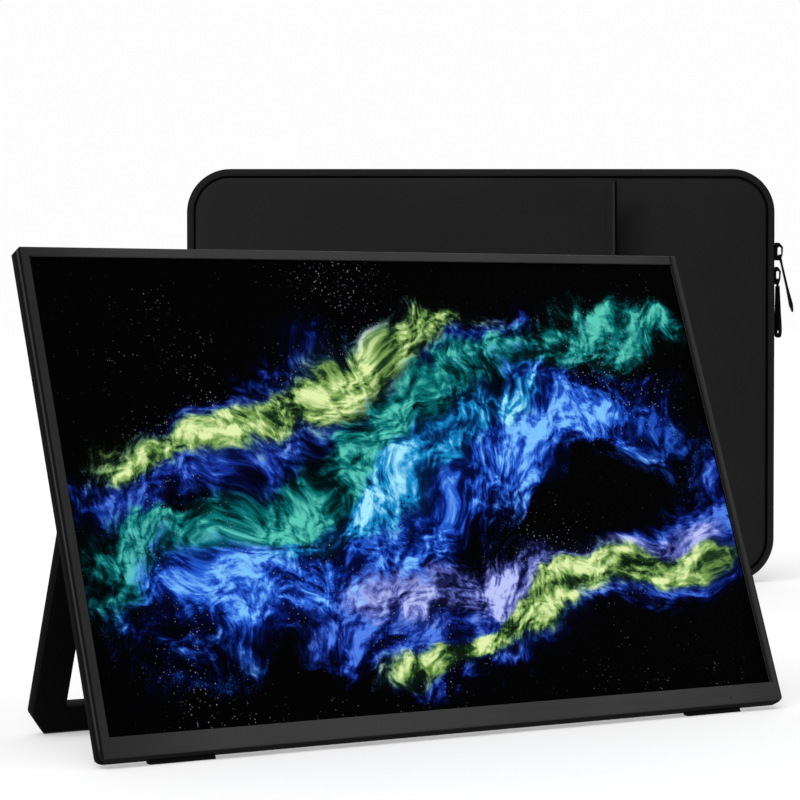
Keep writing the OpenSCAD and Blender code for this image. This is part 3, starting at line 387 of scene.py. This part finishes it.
def housing_material(name, low, high, painted_dim=0.0, right=0.0):
    """Satin plastic of the monitor's housing. Round its edge runs painted shade: the side walls and a thin
    line at the face's outer side edges are painted dark, and a paler line just behind the face is a painted
    highlight, painted darker along the bottom. Behind these runs the dark parting line. The face has painted
    shading too: it can be a little dimmer towards its left and right ends, and the right rim can be painted
    darker along the screen."""
    s = Shade(name)
    x, y, z = panel_place(s)
    at = object_place(s)
    fine = s.noise(at, 2600, 2, 0.6)
    grain = s.math("ADD", s.math("MULTIPLY", s.noise(at, 22, 3, 0.55), 0.7), s.math("MULTIPLY", fine, 0.3))
    grain = s.step(grain, 0.3, 0.7)
    left_end, right_end = (-160 * MM, -85 * MM), (108 * MM, 146 * MM)
    # painted shading: the face is dimmer towards its left end
    face = s.mix(s.step(x, *left_end), s.mix(grain, grey(low - painted_dim), grey(high - painted_dim)),
                 s.mix(grain, grey(low), grey(high)))

    def band(near, far, soft=0.3 * MM):
        """One within a stretch of depth behind the face."""
        return s.math("MULTIPLY", s.step(z, -near, -near - soft), s.step(z, -far, -far + soft))

    def reach(value, near, far, other, other_near, other_far):
        """One where both values have gone from the first to the second of their limits."""
        return s.math("MULTIPLY", s.step(value, near, far), s.step(other, other_near, other_far))

    low_corner, high_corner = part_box("front_frame")
    half = (high_corner[0] - low_corner[0]) / 2
    rim = half - SIDE_RIM
    # painted shading: the right end is a little dimmer, and the rim is painted darker at its inner edge by
    # the screen
    if right:
        face = s.mix(s.step(x, *right_end), face, s.mix(grain, grey(low - right), grey(high - right)))
        painted_rim_shade = s.math("MULTIPLY", reach(x, rim - 0.2 * MM, rim, x, rim + 2 * MM, rim),
                               s.step(y, -0.4 * MM, 0.4 * MM))
        face = s.mix(painted_rim_shade, face, grey(26))
    # painted shade: a thin dark line along the face's outer side edges
    painted_margin_shade = reach(s.math("ABSOLUTE", x), half - 1.1 * MM, half - 0.7 * MM, z, -0.6 * MM, -0.3 * MM)
    # painted highlight: a paler line just behind the face, painted darker along the bottom where shade falls
    painted_ridge_shading = s.mix(s.step(y, 3 * MM - CHIN, 6 * MM - CHIN), grey(26), grey(58))
    # painted shade: the side walls are darker than the face
    painted_wall_shade = grey(20)
    color = s.mix(band(0.3 * MM, 6.6 * MM), face, painted_wall_shade)
    color = s.mix(painted_margin_shade, color, painted_wall_shade)
    color = s.mix(band(0.3 * MM, 1.7 * MM), color, painted_ridge_shading)
    color = s.mix(band(2.4 * MM, 3.7 * MM), color, grey(0))
    gloss = s.math("ADD", 0.32, s.math("MULTIPLY", s.noise(at, 60, 3), 0.1))
    return s.principled(Base_Color=color, Roughness=gloss, Specular_IOR_Level=0.002,
                        Normal=s.bump(fine, 0.3, 0.00002))


# -------------------------------------------------------- mesh from arrays
def mesh_object(name, verts, faces, materials, uvs=None, slots=None):
    """A smooth mesh from points in millimetres in the sleeve's frame."""
    data = bpy.data.meshes.new(name)
    data.from_pydata([sleeve(*v) for v in verts], [], faces)
    if uvs is not None:
        layer = data.uv_layers.new(name="threads")
        flat = [c for face in faces for i in face for c in uvs[i]]
        layer.data.foreach_set("uv", flat)
    for material in materials:
        data.materials.append(material)
    if slots is not None:
        data.polygons.foreach_set("material_index", slots)
    data.polygons.foreach_set("use_smooth", [True] * len(data.polygons))
    data.update()
    piece = bpy.data.objects.new(name, data)
    scene.collection.objects.link(piece)
    return piece


def outward(piece):
    """The piece, with all its faces turned outwards."""
    work = bmesh.new()
    work.from_mesh(piece.data)
    bmesh.ops.recalc_face_normals(work, faces=work.faces)
    work.to_mesh(piece.data)
    work.free()
    return piece


def ripple(x, y, size, seed):
    """Slow ups and downs of about this size, from -1 to 1."""
    return noise.noise(Vector((x / size + seed, y / size - seed * 0.37, seed * 1.7)))


def inset_of(x, y):
    """How far a point lies inside the sleeve's outline, in its own plane."""
    qx = abs(x) - (HALF_W - CORNER)
    qy = abs(y - HEIGHT / 2) - (HEIGHT / 2 - CORNER)
    out = math.hypot(max(qx, 0), max(qy, 0)) + min(max(qx, qy), 0)
    return CORNER - out


# How far inside the outline the first rings of a face lie, close where it bends most
FINE = [0, 0.35, 0.75, 1.2, 1.8, 2.6, 3.8, 5.6, 8.0, 11.0, 14.5]


def rounded_grid(x0, x1, y0, y1, radii, nx, ny):
    """Points and quads that fill a rectangle with rounded corners, in rings, and its border. The first radius
    is that of the left corners and the second that of the right ones."""
    half_w, half_h = (x1 - x0) / 2, (y1 - y0) / 2
    cx, cy = (x0 + x1) / 2, (y0 + y1) / 2
    rings = min(nx, ny) // 2
    limit = min(half_w, half_h)
    rest = rings - (len(FINE) - 1)
    insets = FINE + [FINE[-1] + (limit - FINE[-1]) * k / rest for k in range(1, rest + 1)]

    def side_point(t, half_run, half_rise, ra, rb):
        """A point along the top of a rounded rectangle, from one corner's middle to the other's."""
        arc_a, arc_b = ra * math.pi / 4, rb * math.pi / 4
        total = arc_a + arc_b + 2 * half_run - ra - rb
        s = t * total
        if s < arc_a:
            turn = math.pi * 0.75 - s / ra
            return -half_run + ra + ra * math.cos(turn), half_rise - ra + ra * math.sin(turn)
        s -= arc_a
        if s <= 2 * half_run - ra - rb:
            return -half_run + ra + s, half_rise
        s -= 2 * half_run - ra - rb
        turn = math.pi / 2 - s / rb if rb > 0 else math.pi / 2
        return half_run - rb + rb * math.cos(turn), half_rise - rb + rb * math.sin(turn)

    points = []
    for k in range(ny + 1):
        for i in range(nx + 1):
            j = min(i, nx - i, k, ny - k)
            a, b = half_w - insets[j], half_h - insets[j]
            left, right = (max(min(r - insets[j], a, b), 0.0) if r - insets[j] > 0 else 0.0 for r in radii)
            if ny - k == j or k == j:
                t = (i - j) / max(nx - 2 * j, 1)
                x, y = side_point(t, a, b, left, right)
                y = y if ny - k == j else -y
                if ny - k == j and k == j:
                    y = 0.0
            else:
                t = (k - j) / max(ny - 2 * j, 1)
                r = left if i == j else right
                y, x = side_point(t, b, a, r, r)
                x = -x if i == j else x
            points.append((cx + x, cy + y))
    quads = [(k * (nx + 1) + i, k * (nx + 1) + i + 1, (k + 1) * (nx + 1) + i + 1, (k + 1) * (nx + 1) + i)
             for k in range(ny) for i in range(nx)]
    border = ([i for i in range(nx + 1)] + [k * (nx + 1) + nx for k in range(1, ny + 1)]
              + [ny * (nx + 1) + i for i in range(nx - 1, -1, -1)]
              + [k * (nx + 1) for k in range(ny - 1, 0, -1)])
    return points, quads, border


def slab(name, points, quads, border, outer, inner, materials, side=1):
    """A closed padded piece between two height functions of (x, y). side -1 puts it on the sleeve's back."""
    count = len(points)
    verts = [(x, y, side * outer(x, y)) for x, y in points] + [(x, y, side * inner(x, y)) for x, y in points]
    faces = [q if side > 0 else q[::-1] for q in quads]
    faces += [tuple(i + count for i in (q[::-1] if side > 0 else q)) for q in quads]
    slots = [0] * len(quads) + [1] * len(quads)
    for a, b in zip(border, border[1:] + border[:1]):
        edge = (a, a + count, b + count, b)
        faces.append(edge if side > 0 else edge[::-1])
        slots.append(0)
    if len(materials) > 2:                       # the open edge gets the dark edge cloth, and beside it the hem's fold a painted highlight
        dark_edge, hem = 1.3, 2.7
        for k, quad in enumerate(quads):
            inset = POCKET_EDGE - min(points[i][0] for i in quad)
            slots[k] = 2 if inset < dark_edge else 3 if inset < hem else 0
        slots[2 * len(quads):] = [2 if points[a][0] > POCKET_EDGE - dark_edge else 0 for a in border]
    return mesh_object(name, verts, faces, materials, [(x, y) for x, y in points] * 2, slots)


# ------------------------------------------------------ paths of the sleeve
def outline_path(inset, step, start=None):
    """Points round the sleeve's outline at an inset, counter-clockwise from the middle of the base as (x, y,
    outward x, outward y, run). With a start, only the stretch over the top, from that height on the right
    side to the same height on the left."""
    r = CORNER - inset
    w, h = HALF_W - CORNER, HEIGHT
    pieces = [("line", (0, inset), (w, inset), (0, -1)), ("arc", (w, CORNER), -90, None),
              ("line", (w + r, CORNER), (w + r, h - CORNER), (1, 0)), ("arc", (w, h - CORNER), 0, None),
              ("line", (w, h - inset), (-w, h - inset), (0, 1)), ("arc", (-w, h - CORNER), 90, None),
              ("line", (-w - r, h - CORNER), (-w - r, CORNER), (-1, 0)), ("arc", (-w, CORNER), 180, None),
              ("line", (-w, inset), (0, inset), (0, -1))]
    path, run = [], 0.0
    for kind, a, b, out in pieces:
        length = math.dist(a, b) if kind == "line" else r * math.pi / 2
        count = max(2, round(length / step))
        for i in range(count):
            t = i / count
            if kind == "line":
                path.append((a[0] + (b[0] - a[0]) * t, a[1] + (b[1] - a[1]) * t, *out, run + length * t))
            else:
                turn = math.radians(b + 90 * t)
                path.append((a[0] + r * math.cos(turn), a[1] + r * math.sin(turn),
                             math.cos(turn), math.sin(turn), run + length * t))
        run += length
    if start is None:
        return path
    top = [p for p in path if p[1] > start]
    first = (w + r, start, 1, 0, top[0][4] - (top[0][1] - start))
    last = (-w - r, start, -1, 0, top[-1][4] + (top[-1][1] - start))
    return [first] + top + [last]


def sweep(name, path, section, materials, closed, face_slots=None):
    """Carries a closed section, given by section(path point) as [(outward, z), ...], along a path."""
    rows = [section(p) for p in path]
    n = len(rows[0])
    verts, uvs = [], []
    for (x, y, ox, oy, run), row in zip(path, rows):
        across = 0.0
        for k, (out, z) in enumerate(row):
            if k:
                across += math.dist(row[k], row[k - 1])
            verts.append((x + ox * out, max(y + oy * out, FLOOR_Y), z))
            uvs.append((run, across))
    faces, slots = [], []
    count = len(path)
    for i in range(count if closed else count - 1):
        j = (i + 1) % count
        for k in range(n):
            m = (k + 1) % n
            faces.append((i * n + k, j * n + k, j * n + m, i * n + m))
            slots.append(face_slots[k] if face_slots else 0)
    if not closed:
        faces.append(tuple(range(n))[::-1])
        faces.append(tuple((count - 1) * n + k for k in range(n)))
        slots += [0, 0]
    return outward(mesh_object(name, verts, faces, materials, uvs, slots))


def tube_section(out, z, radius, wobble=0.1, sides=12):
    """A round section at a place of its own in the sweep, a little uneven along its run."""
    def section(p):
        r = radius * (1 + wobble * ripple(p[4], z, 17, 4.4))
        return [(out + r * math.cos(2 * math.pi * k / sides), z + r * math.sin(2 * math.pi * k / sides))
                for k in range(sides)]
    return section


# ---------------------------------------------------------- sleeve pieces
shell_cloth = cloth("shell_cloth", 26, 34)
# the front face carries a painted shadow of the pocket's lifted edge beyond its mouth
front_cloth = cloth("front_cloth", 26, 34, pocket_shadow=(POCKET_EDGE - 2, POCKET_EDGE + 24))
band_cloth = cloth("band_cloth", 26, 33, pitch=0.5)
# painted highlight: a paler cloth on the hem's fold beside the pocket's open edge
painted_hem_highlight = cloth("painted_hem_highlight", 36, 45)
# painted shading: the pocket is a little darker towards its right
pocket_cloth = cloth("pocket_cloth", 26, 37, painted_fade=-0.0012)
lining_cloth = cloth("lining_cloth", 40, 52, pitch=0.8, relief=0.00006, sheen=0.3, rough=0.9)
edge_cloth = cloth("edge_cloth", 2, 8, pitch=0.35, sheen=0.0, specular=0.0)
tape_cloth = cloth("tape_cloth", 6, 13, pitch=0.6, relief=0.00008)
thread = cloth("thread", 22, 32, pitch=0.2)
coil_plastic = moulded("coil_plastic", 8, 16, rough=0.35, specular=0.3, relief=0.00001)


FACE_RUN = 16                    # over about this length from its seam a face comes to lie flat


def face_height(x, y, seed, crown=1.0):
    """Outside of a padded face: it rises fast from the seam and lies almost flat, with slow dents."""
    d = max(inset_of(x, y) - SEAM, 0)
    at_seam, swell, seam_run = 8.15, 1.95, 2.6
    rise = at_seam + swell * (1 - math.exp(-d / seam_run))
    soft = 1 - math.exp(-d / FACE_RUN)
    dents = 0.38 * ripple(x, y, 95, seed) + 0.16 * ripple(x, y, 34, seed + 5)
    pucker = (1 - soft) * min(d, 4) * 0.05 * ripple(x, y, 12, seed + 9)
    return rise + soft * (crown * 0.45 + dents - sink(x, y)) + pucker


def gape_run(y):
    """How much of its full gape the pocket's mouth has at a height: none at the top and foot, all between."""
    closed_above, closed_below = 226, 14

    def ease(t):
        t = min(max(t, 0.0), 1.0)
        return t * t * (3 - 2 * t)
    return ease((closed_above - y) / 46) * ease((y - closed_below) / 60)


def sink(x, y):
    """The face dips a little just beyond the pocket's mouth."""
    return 1.3 * math.exp(-((x - POCKET_EDGE - 2) / 11) ** 2) * gape_run(y)


def back_height(x, y):
    """The back's face, which has no pocket and so doesn't sink."""
    soft = 1 - math.exp(-max(inset_of(x, y) - SEAM, 0) / FACE_RUN)
    return face_height(x, y, 31.0, 1.4) + soft * sink(x, y)


face_corner = CORNER - SEAM
grid = rounded_grid(-HALF_W + SEAM, HALF_W - SEAM, SEAM, HEIGHT - SEAM, (face_corner, face_corner), 116, 84)
front = slab("sleeve_front", *grid, lambda x, y: face_height(x, y, 2.0), lambda x, y: LINING_Z,
             [front_cloth, lining_cloth])
back = slab("sleeve_back", *grid, back_height, lambda x, y: LINING_Z,
            [shell_cloth, lining_cloth], side=-1)


def pocket_height(x, y):
    """Outside of the slip pocket: over the face, then gaping a little along its open edge."""
    d = max(inset_of(x, y) - SEAM, 0)
    e = max(POCKET_EDGE - x, 0)
    at_seam, swell, seam_run, pocket_run = 8.5, 2.75, 2.4, 9
    rise = at_seam + swell * (1 - math.exp(-d / seam_run))
    gape = math.exp(-e / 24) * (0.15 + 2.6 * gape_run(y))
    soft = 1 - math.exp(-d / pocket_run)
    hem = 0.18 / (1 + math.exp((e - 8.5) / 1.6)) + 0.3 * math.exp(-((e - 1.9) / 0.9) ** 2)
    roll = 0.75 * max(0, 1 - e / 1.1) ** 2
    folds = 0.3 + 0.30 * ripple(x, y, 80, 14.0) + 0.12 * ripple(x, y, 28, 17.0)
    return rise + soft * (gape + folds + hem) - roll


def pocket_inside(x, y):
    """The pocket's own inside: its fabric is thicker where the hem is turned in."""
    fabric, turned_in = 0.75, 0.55
    return pocket_height(x, y) - (fabric + turned_in * math.exp(-max(POCKET_EDGE - x, 0) / 5))


pocket_grid = rounded_grid(-HALF_W + SEAM, POCKET_EDGE, SEAM, HEIGHT - SEAM, (face_corner, 0.0), 104, 84)
pocket = slab("sleeve_pocket", *pocket_grid, pocket_height, pocket_inside,
              [pocket_cloth, pocket_cloth, edge_cloth, painted_hem_highlight])


def band_out(z):
    """Where the band lies at a depth: on the outline in the middle, and further in towards its edges."""
    return -BAND_FALL * (1 - math.sqrt(max(1 - (z / BAND_RISE) ** 2, 0)))


def band_profile(z0, z1, lip0=0.0, lip1=0.0, steps=16):
    """The band's section between two depths, with an edge turned in where a lip is given. Its last two points
    lie inside, on the lining's depth at most."""
    outer = []
    turn0, turn1 = math.asin(z0 / BAND_RISE), math.asin(z1 / BAND_RISE)
    for k in range(steps + 1):
        z = BAND_RISE * math.sin(turn0 + (turn1 - turn0) * k / steps)
        fall = 0.0
        for lip, edge in ((lip0, abs(z - z0)), (lip1, abs(z1 - z))):
            if lip and edge < lip:
                fall = max(fall, lip * (1 - math.sqrt(max(0.0, 1 - (1 - edge / lip) ** 2))))
        outer.append((band_out(z) - fall, z))
    inner = 7.0
    return outer + [(-BAND_IN, max(min(z, inner), -inner)) for z in (z1, z0)]


def zip_half(p):
    """Half the gap between the zip's two bands: it closes towards the ends of the zip."""
    closed, opening = 0.12, 2.7
    rise = min(max((p[1] - (FOLD_Y - 3)) / 9, 0), 1)
    return closed + opening * rise * rise * (3 - 2 * rise)


top_path = outline_path(0, PATH_STEP, MOUTH_LOW)
full_path = outline_path(0, PATH_STEP)
# The band below the mouth runs from the left side round the base to the right side
lower = [p for p in full_path if p[1] < MOUTH_LOW]
split = next(i for i, (a, b) in enumerate(zip(lower, lower[1:])) if math.dist(a[:2], b[:2]) > 20)
base_path = ([(-HALF_W, MOUTH_LOW, -1, 0, lower[split + 1][4] - 1)] + lower[split + 1:] + lower[:split + 1]
             + [(HALF_W, MOUTH_LOW, 1, 0, lower[split][4] + 1)])
band = sweep("sleeve_band", base_path, lambda p: band_profile(-BAND_EDGE, BAND_EDGE), [band_cloth], False)
# The faces of the mouth's bands next to the zip, and those inside, have the dark edge cloth
mouth_back = sweep("mouth_band_rear", top_path, lambda p: band_profile(-BAND_EDGE, -zip_half(p), lip1=LIP),
                   [band_cloth, edge_cloth], False, [0] * 11 + [1] * 8)
mouth_front = sweep("mouth_band_fore", top_path, lambda p: band_profile(zip_half(p), BAND_EDGE, lip0=LIP),
                    [band_cloth, edge_cloth], False, [1] * 5 + [0] * 11 + [1] * 3)
cord_path = outline_path(0, 2.0)
piping_front = sweep("seam_cord_fore", cord_path, tube_section(CORD_OUT, CORD_Z, CORD_R), [edge_cloth], True)
piping_back = sweep("seam_cord_rear", cord_path, tube_section(CORD_OUT, -CORD_Z, CORD_R), [edge_cloth], True)

tape_path = outline_path(0, PATH_STEP, FOLD_Y - 1)


def tape(name, side):
    """One of the zip's tapes: it carries a row of teeth and goes under the band's lip."""
    corners = ((-2.35, 0.9), (-2.3, 2.2), (-2.5, 4.6), (-3.0, 4.6), (-2.9, 0.9))
    return sweep(name, tape_path, lambda p: [(out, side * z) for out, z in corners], [tape_cloth], False)


tape_front, tape_back = tape("zip_tape_fore", 1), tape("zip_tape_rear", -1)


def teeth(name, side, offset):
    """One row of the zip's coil, a rounded loop for each tooth. The offset sets it against the other row."""
    verts, faces = [], []
    ring = 8
    # depth, outward and radius of the rings that make up a loop
    loop = ((-0.15, -1.7, 0.30), (0.35, -1.1, 0.44), (1.05, -1.15, 0.42), (1.5, -1.9, 0.26))
    path = outline_path(0, 0.25, FOLD_Y + 3.4)
    next_run = path[0][4] + offset
    for x, y, ox, oy, run in path:
        if run < next_run:
            continue
        next_run += COIL_PITCH
        tx, ty = -oy, ox
        base = len(verts)
        for z, deep, thick in loop:
            for k in range(ring):
                turn = 2 * math.pi * k / ring
                along, up = thick * math.cos(turn), thick * 1.25 * math.sin(turn)
                out = deep + up
                verts.append((x + ox * out + tx * along, y + oy * out + ty * along, side * z))
        for row in range(len(loop) - 1):
            for k in range(ring):
                m = (k + 1) % ring
                a = base + row * ring
                quad = (a + k, a + m, a + ring + m, a + ring + k)
                faces.append(quad if side > 0 else quad[::-1])
        for first, flip in ((base, side > 0), (base + (len(loop) - 1) * ring, side < 0)):
            cap = tuple(first + k for k in range(ring))
            faces.append(cap[::-1] if flip else cap)
    return mesh_object(name, verts, faces, [coil_plastic])


teeth_front, teeth_back = teeth("zip_teeth_fore", 1, 0.0), teeth("zip_teeth_rear", -1, COIL_PITCH / 2)


def stitches(name, points, material, length=2.3, radius=0.13):
    """Short raised thread ends along a line of (position, direction, up) in the sleeve's frame."""
    verts, faces = [], []
    sides = 6
    # place along the stitch, share of its radius and lift of the rings that make it up
    rings = ((-1, 0.35, -0.22), (-0.7, 0.9, 0.02), (0, 1.0, 0.1), (0.7, 0.9, 0.02), (1, 0.35, -0.22))
    for centre, along, up in points:
        centre, along, up = Vector(centre), Vector(along).normalized(), Vector(up).normalized()
        aside = along.cross(up)
        base = len(verts)
        for t, r, lift in rings:
            mid = centre + along * (t * length / 2) + up * lift
            for k in range(sides):
                turn = 2 * math.pi * k / sides
                verts.append(tuple(mid + (aside * math.cos(turn) + up * math.sin(turn)) * radius * r))
        for row in range(len(rings) - 1):
            for k in range(sides):
                m = (k + 1) % sides
                a = base + row * sides
                faces.append((a + k, a + m, a + sides + m, a + sides + k))
        faces.append(tuple(base + k for k in range(sides))[::-1])
        faces.append(tuple(base + (len(rings) - 1) * sides + k for k in range(sides)))
    return outward(mesh_object(name, verts, faces, [material], [(v[0] + v[2], v[1]) for v in verts]))


SUNK = 0.02                      # how deep a stitch lies in the cloth
HEM_X = POCKET_EDGE - 6.5
hem_points = []
for k in range(74):
    y = 10.5 + k * STITCH_PITCH
    hem_points.append(((HEM_X, y, pocket_height(HEM_X, y) - SUNK), (0, 1, 0), (0, 0, 1)))
hem_stitch = stitches("pocket_hem_stitch", hem_points, thread)


def lip_stitch(name, side):
    """The stitches beside the zip, along the lip of one of the mouth's bands."""
    points = []
    path = outline_path(0, 0.5, FOLD_Y + 4)
    next_run = path[0][4]
    for p in path:
        if p[4] < next_run:
            continue
        next_run += STITCH_PITCH
        z = side * (zip_half(p) + 1.9)
        out = band_out(z) - SUNK
        points.append(((p[0] + p[2] * out, p[1] + p[3] * out, z), (-p[3], p[2], 0), (p[2], p[3], 0)))
    return stitches(name, points, thread)


stitch_front, stitch_back = lip_stitch("lip_stitch_fore", 1), lip_stitch("lip_stitch_rear", -1)

# Each piece: the body it rides on, or none where it is baked in place, the CAD nodes it stands for, its
# finish
bend_low, bend_high = sleeve(0, FOLD_Y - 6, 0), sleeve(0, FOLD_Y + 8, 0)
for piece, rides, nodes, slot in (
        (front, None, ["sleeve_front_face", "sleeve_front_foam", "sleeve_front_lining",
                       "flap_face", "flap_foam", "flap_lining"], "shell_fabric"),
        (back, "sleeve", ["sleeve_back_face", "sleeve_back_foam", "sleeve_back_lining"], "shell_fabric"),
        (pocket, None, ["pocket_panel", "flap_pocket"], "shell_fabric"),
        (band, "sleeve", ["side_band"], "band_fabric"),
        (mouth_back, "sleeve", ["mouth_band_back"], "band_fabric"),
        (mouth_front, None, ["flap_band"], "band_fabric"),
        (piping_front, None, ["piping_front", "flap_piping"], "trim"),
        (piping_back, "sleeve", ["piping_back"], "trim"),
        (tape_front, None, ["zip_tape_front"], "trim"),
        (tape_back, "sleeve", ["zip_tape_back"], "trim"),
        (teeth_front, None, ["zip_chain_front"], "chain"),
        (teeth_back, "sleeve", ["zip_chain_back"], "chain"),
        (hem_stitch, None, [], "trim"),
        (stitch_front, None, [], "trim"),
        (stitch_back, "sleeve", [], "trim")):
    if rides:
        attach(piece, rides)
    else:
        tuple(bend_low)
        tuple(bend_high)
        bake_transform(piece)
    if nodes:
        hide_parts(*nodes)


# ------------------------------------------------- rigid pieces, dressed
CREASE = math.radians(28)        # an edge that turns more than this is sharp


def dress(node, material, bevel, merge):
    """A copy of a CAD node with soft edges and smooth curves, which stands for it. A bevel is in millimetres.
    Merging joins its flat faces first, which a face with a hole in it doesn't stand."""
    source = frame["nodes"][node]
    piece = bpy.data.objects.new(node + "_shape", source.data.copy())
    scene.collection.objects.link(piece)
    piece.data.materials.clear()
    piece.data.materials.append(material)
    work = bmesh.new()
    work.from_mesh(piece.data)
    bmesh.ops.remove_doubles(work, verts=work.verts, dist=1e-7)
    if merge:
        bmesh.ops.dissolve_limit(work, angle_limit=math.radians(0.5), verts=work.verts, edges=work.edges)
    if bevel:
        sharp = [e for e in work.edges if len(e.link_faces) == 2 and e.calc_face_angle(0) > CREASE]
        bmesh.ops.bevel(work, geom=sharp, offset=bevel * MM, offset_type="OFFSET", segments=2, profile=0.5,
                        affect="EDGES", clamp_overlap=True)
    for face in work.faces:
        face.smooth = True
        face.material_index = 0
    for edge in work.edges:
        edge.smooth = len(edge.link_faces) != 2 or edge.calc_face_angle(0) < CREASE
    work.to_mesh(piece.data)
    work.free()
    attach(piece, source["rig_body"])
    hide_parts(node)


# the bezel's face gets painted shading, dimmer at its left and right ends
bezel = housing_material("bezel_plastic", 56, 62, painted_dim=18, right=8)
cover = housing_material("cover_plastic", 27, 34)
stand_paint = moulded("stand_paint", 9, 13, rough=0.5, specular=0.006, grain=3400)
black_rubber = rubber("black_rubber", 8)
pull_rubber = rubber("pull_rubber", 3)
zip_black = moulded("zip_enamel", 2, 5, rough=0.3, specular=0.03, relief=0.000005)
steel = metal("steel", (0.55, 0.56, 0.58), 0.3)
shell_steel = metal("socket_steel", (0.5, 0.51, 0.53), 0.22, (1, 0.1, 1))
screw_black = metal("screw_black", (0.05, 0.05, 0.055), 0.35)
board_green = moulded("board_lacquer", 40, 62, rough=0.3, specular=0.5, tint=(0.35, 1.6, 0.8))
flex_amber = moulded("flex_film", 130, 150, rough=0.35, specular=0.5, tint=(1.5, 0.8, 0.2))
sheet_alloy = metal("sheet_alloy", (0.6, 0.61, 0.62), 0.38, (0.1, 1, 1))
white_film = moulded("white_film", 225, 235, rough=0.5)
lens_smoke = moulded("lens_smoke", 38, 44, rough=0.2, specular=0.06)
switch_black = moulded("switch_black", 30, 40, rough=0.45)

for node, material, bevel in (
        ("front_frame", bezel, 0.12), ("rear_cover", cover, 0.0), ("kickstand", stand_paint, 0.25),
        ("kickstand_strip", black_rubber, 0.15), ("foot_left", black_rubber, 0.15),
        ("foot_right", black_rubber, 0.15), ("power_button", cover, 0.1), ("menu_rocker", cover, 0.1),
        ("slider_upper", zip_black, 0.12), ("slider_lower", zip_black, 0.12),
        ("pull_upper", pull_rubber, 0.2), ("pull_lower", pull_rubber, 0.2)):
    dress(node, material, bevel, merge=not node.startswith(("slider", "pull")))

# The other hard pieces keep their CAD shape and only get a finish
finishes = {
    "display_panel": screen_material(), "status_lens": lens_smoke, "backlight_unit": white_film,
    "chassis_plate": sheet_alloy, "driver_board": board_green, "control_board": board_green,
    "panel_flex": flex_amber, "usb_port_upper": shell_steel, "usb_port_lower": shell_steel,
    "hdmi_port": shell_steel, "audio_jack": switch_black, "power_switch": switch_black,
    "rocker_switches": switch_black, "speaker_left": switch_black, "speaker_right": switch_black,
    "hinge_bracket_left": steel, "hinge_bracket_right": steel, "bracket_screws": steel,
    "cover_screws": screw_black, "board_screws": steel, "hinge_pins": steel, "zip_stops": screw_black,
}
for node, material in finishes.items():
    data = frame["nodes"][node].data
    data.materials.clear()
    data.materials.append(material)

# ------------------------------------------------------- floor and light
WHITE = 1.06                     # the open floor
BACKDROP = 0.985                 # what the camera sees of the sky
SHADOW = 0.78                    # the share of the floor's light that shadows can take
SKY = 0.64                       # what the sky gives the open floor; the front lamp gives the rest of one
BACK = 0.22                      # what the lamp behind adds to that
FLOOR = 25                       # half the floor's width, in metres

floor_data = bpy.data.meshes.new("floor")
floor_data.from_pydata([(-FLOOR, -FLOOR, 0), (FLOOR, -FLOOR, 0), (FLOOR, FLOOR, 0), (-FLOOR, FLOOR, 0)], [],
                       [(0, 1, 2, 3)])
floor = bpy.data.objects.new("floor", floor_data)
scene.collection.objects.link(floor)
floor_white = Shade("floor_white")
share = WHITE * SHADOW / (1 + BACK)
lit = floor_white.node("BsdfDiffuse", {"Color": (share, share, share, 1)})
own = floor_white.node("Emission", {"Color": (1, 1, 1, 1), "Strength": WHITE * (1 - SHADOW)})
both = floor_white.node("AddShader", {0: lit, 1: own})
floor_white.tree.links.new(both.outputs[0], floor_white.out.inputs[0])
floor_data.materials.append(floor_white.mat)

# The camera, mirrors and glass see a white backdrop, and all else the dimmer sky
world = bpy.data.worlds.new("studio")
scene.world = world
world.use_nodes = True
sky = world.node_tree
sky.nodes.clear()
out = sky.nodes.new("ShaderNodeOutputWorld")
seen = sky.nodes.new("ShaderNodeBackground")
seen.inputs[0].default_value = (1, 1, 1, 1)
seen.inputs[1].default_value = BACKDROP
around = sky.nodes.new("ShaderNodeBackground")
around.inputs[0].default_value = (1, 1, 1, 1)
around.inputs[1].default_value = SKY
ray = sky.nodes.new("ShaderNodeLightPath")
pick = sky.nodes.new("ShaderNodeMixShader")
kinds = [ray.outputs[kind] for kind in ("Is Camera Ray", "Is Glossy Ray", "Is Transmission Ray")]
while len(kinds) > 1:
    either = sky.nodes.new("ShaderNodeMath")
    either.operation = "MAXIMUM"
    sky.links.new(kinds.pop(), either.inputs[0])
    sky.links.new(kinds.pop(), either.inputs[1])
    kinds.append(either.outputs[0])
sky.links.new(kinds[0], pick.inputs[0])
sky.links.new(around.outputs[0], pick.inputs[1])
sky.links.new(seen.outputs[0], pick.inputs[2])
sky.links.new(pick.outputs[0], out.inputs[0])


def lamp(name, towards, strength, shadow=True):
    """A wide soft lamp far away in the direction given, which lights the open floor with this strength."""
    towards = Vector(towards).normalized()
    data = bpy.data.lights.new(name, "SUN")
    data.energy = strength * math.pi / towards.z
    data.angle = math.radians(50)
    data.use_shadow = shadow
    made = bpy.data.objects.new(name, data)
    made.rotation_euler = towards.to_track_quat("Z", "Y").to_euler()
    scene.collection.objects.link(made)


lamp("key", (-0.45, -0.30, 0.82), 1 - SKY)
lamp("back", (0.40, 0.75, 0.55), BACK, shadow=False)

scene.view_settings.view_transform = "Standard"
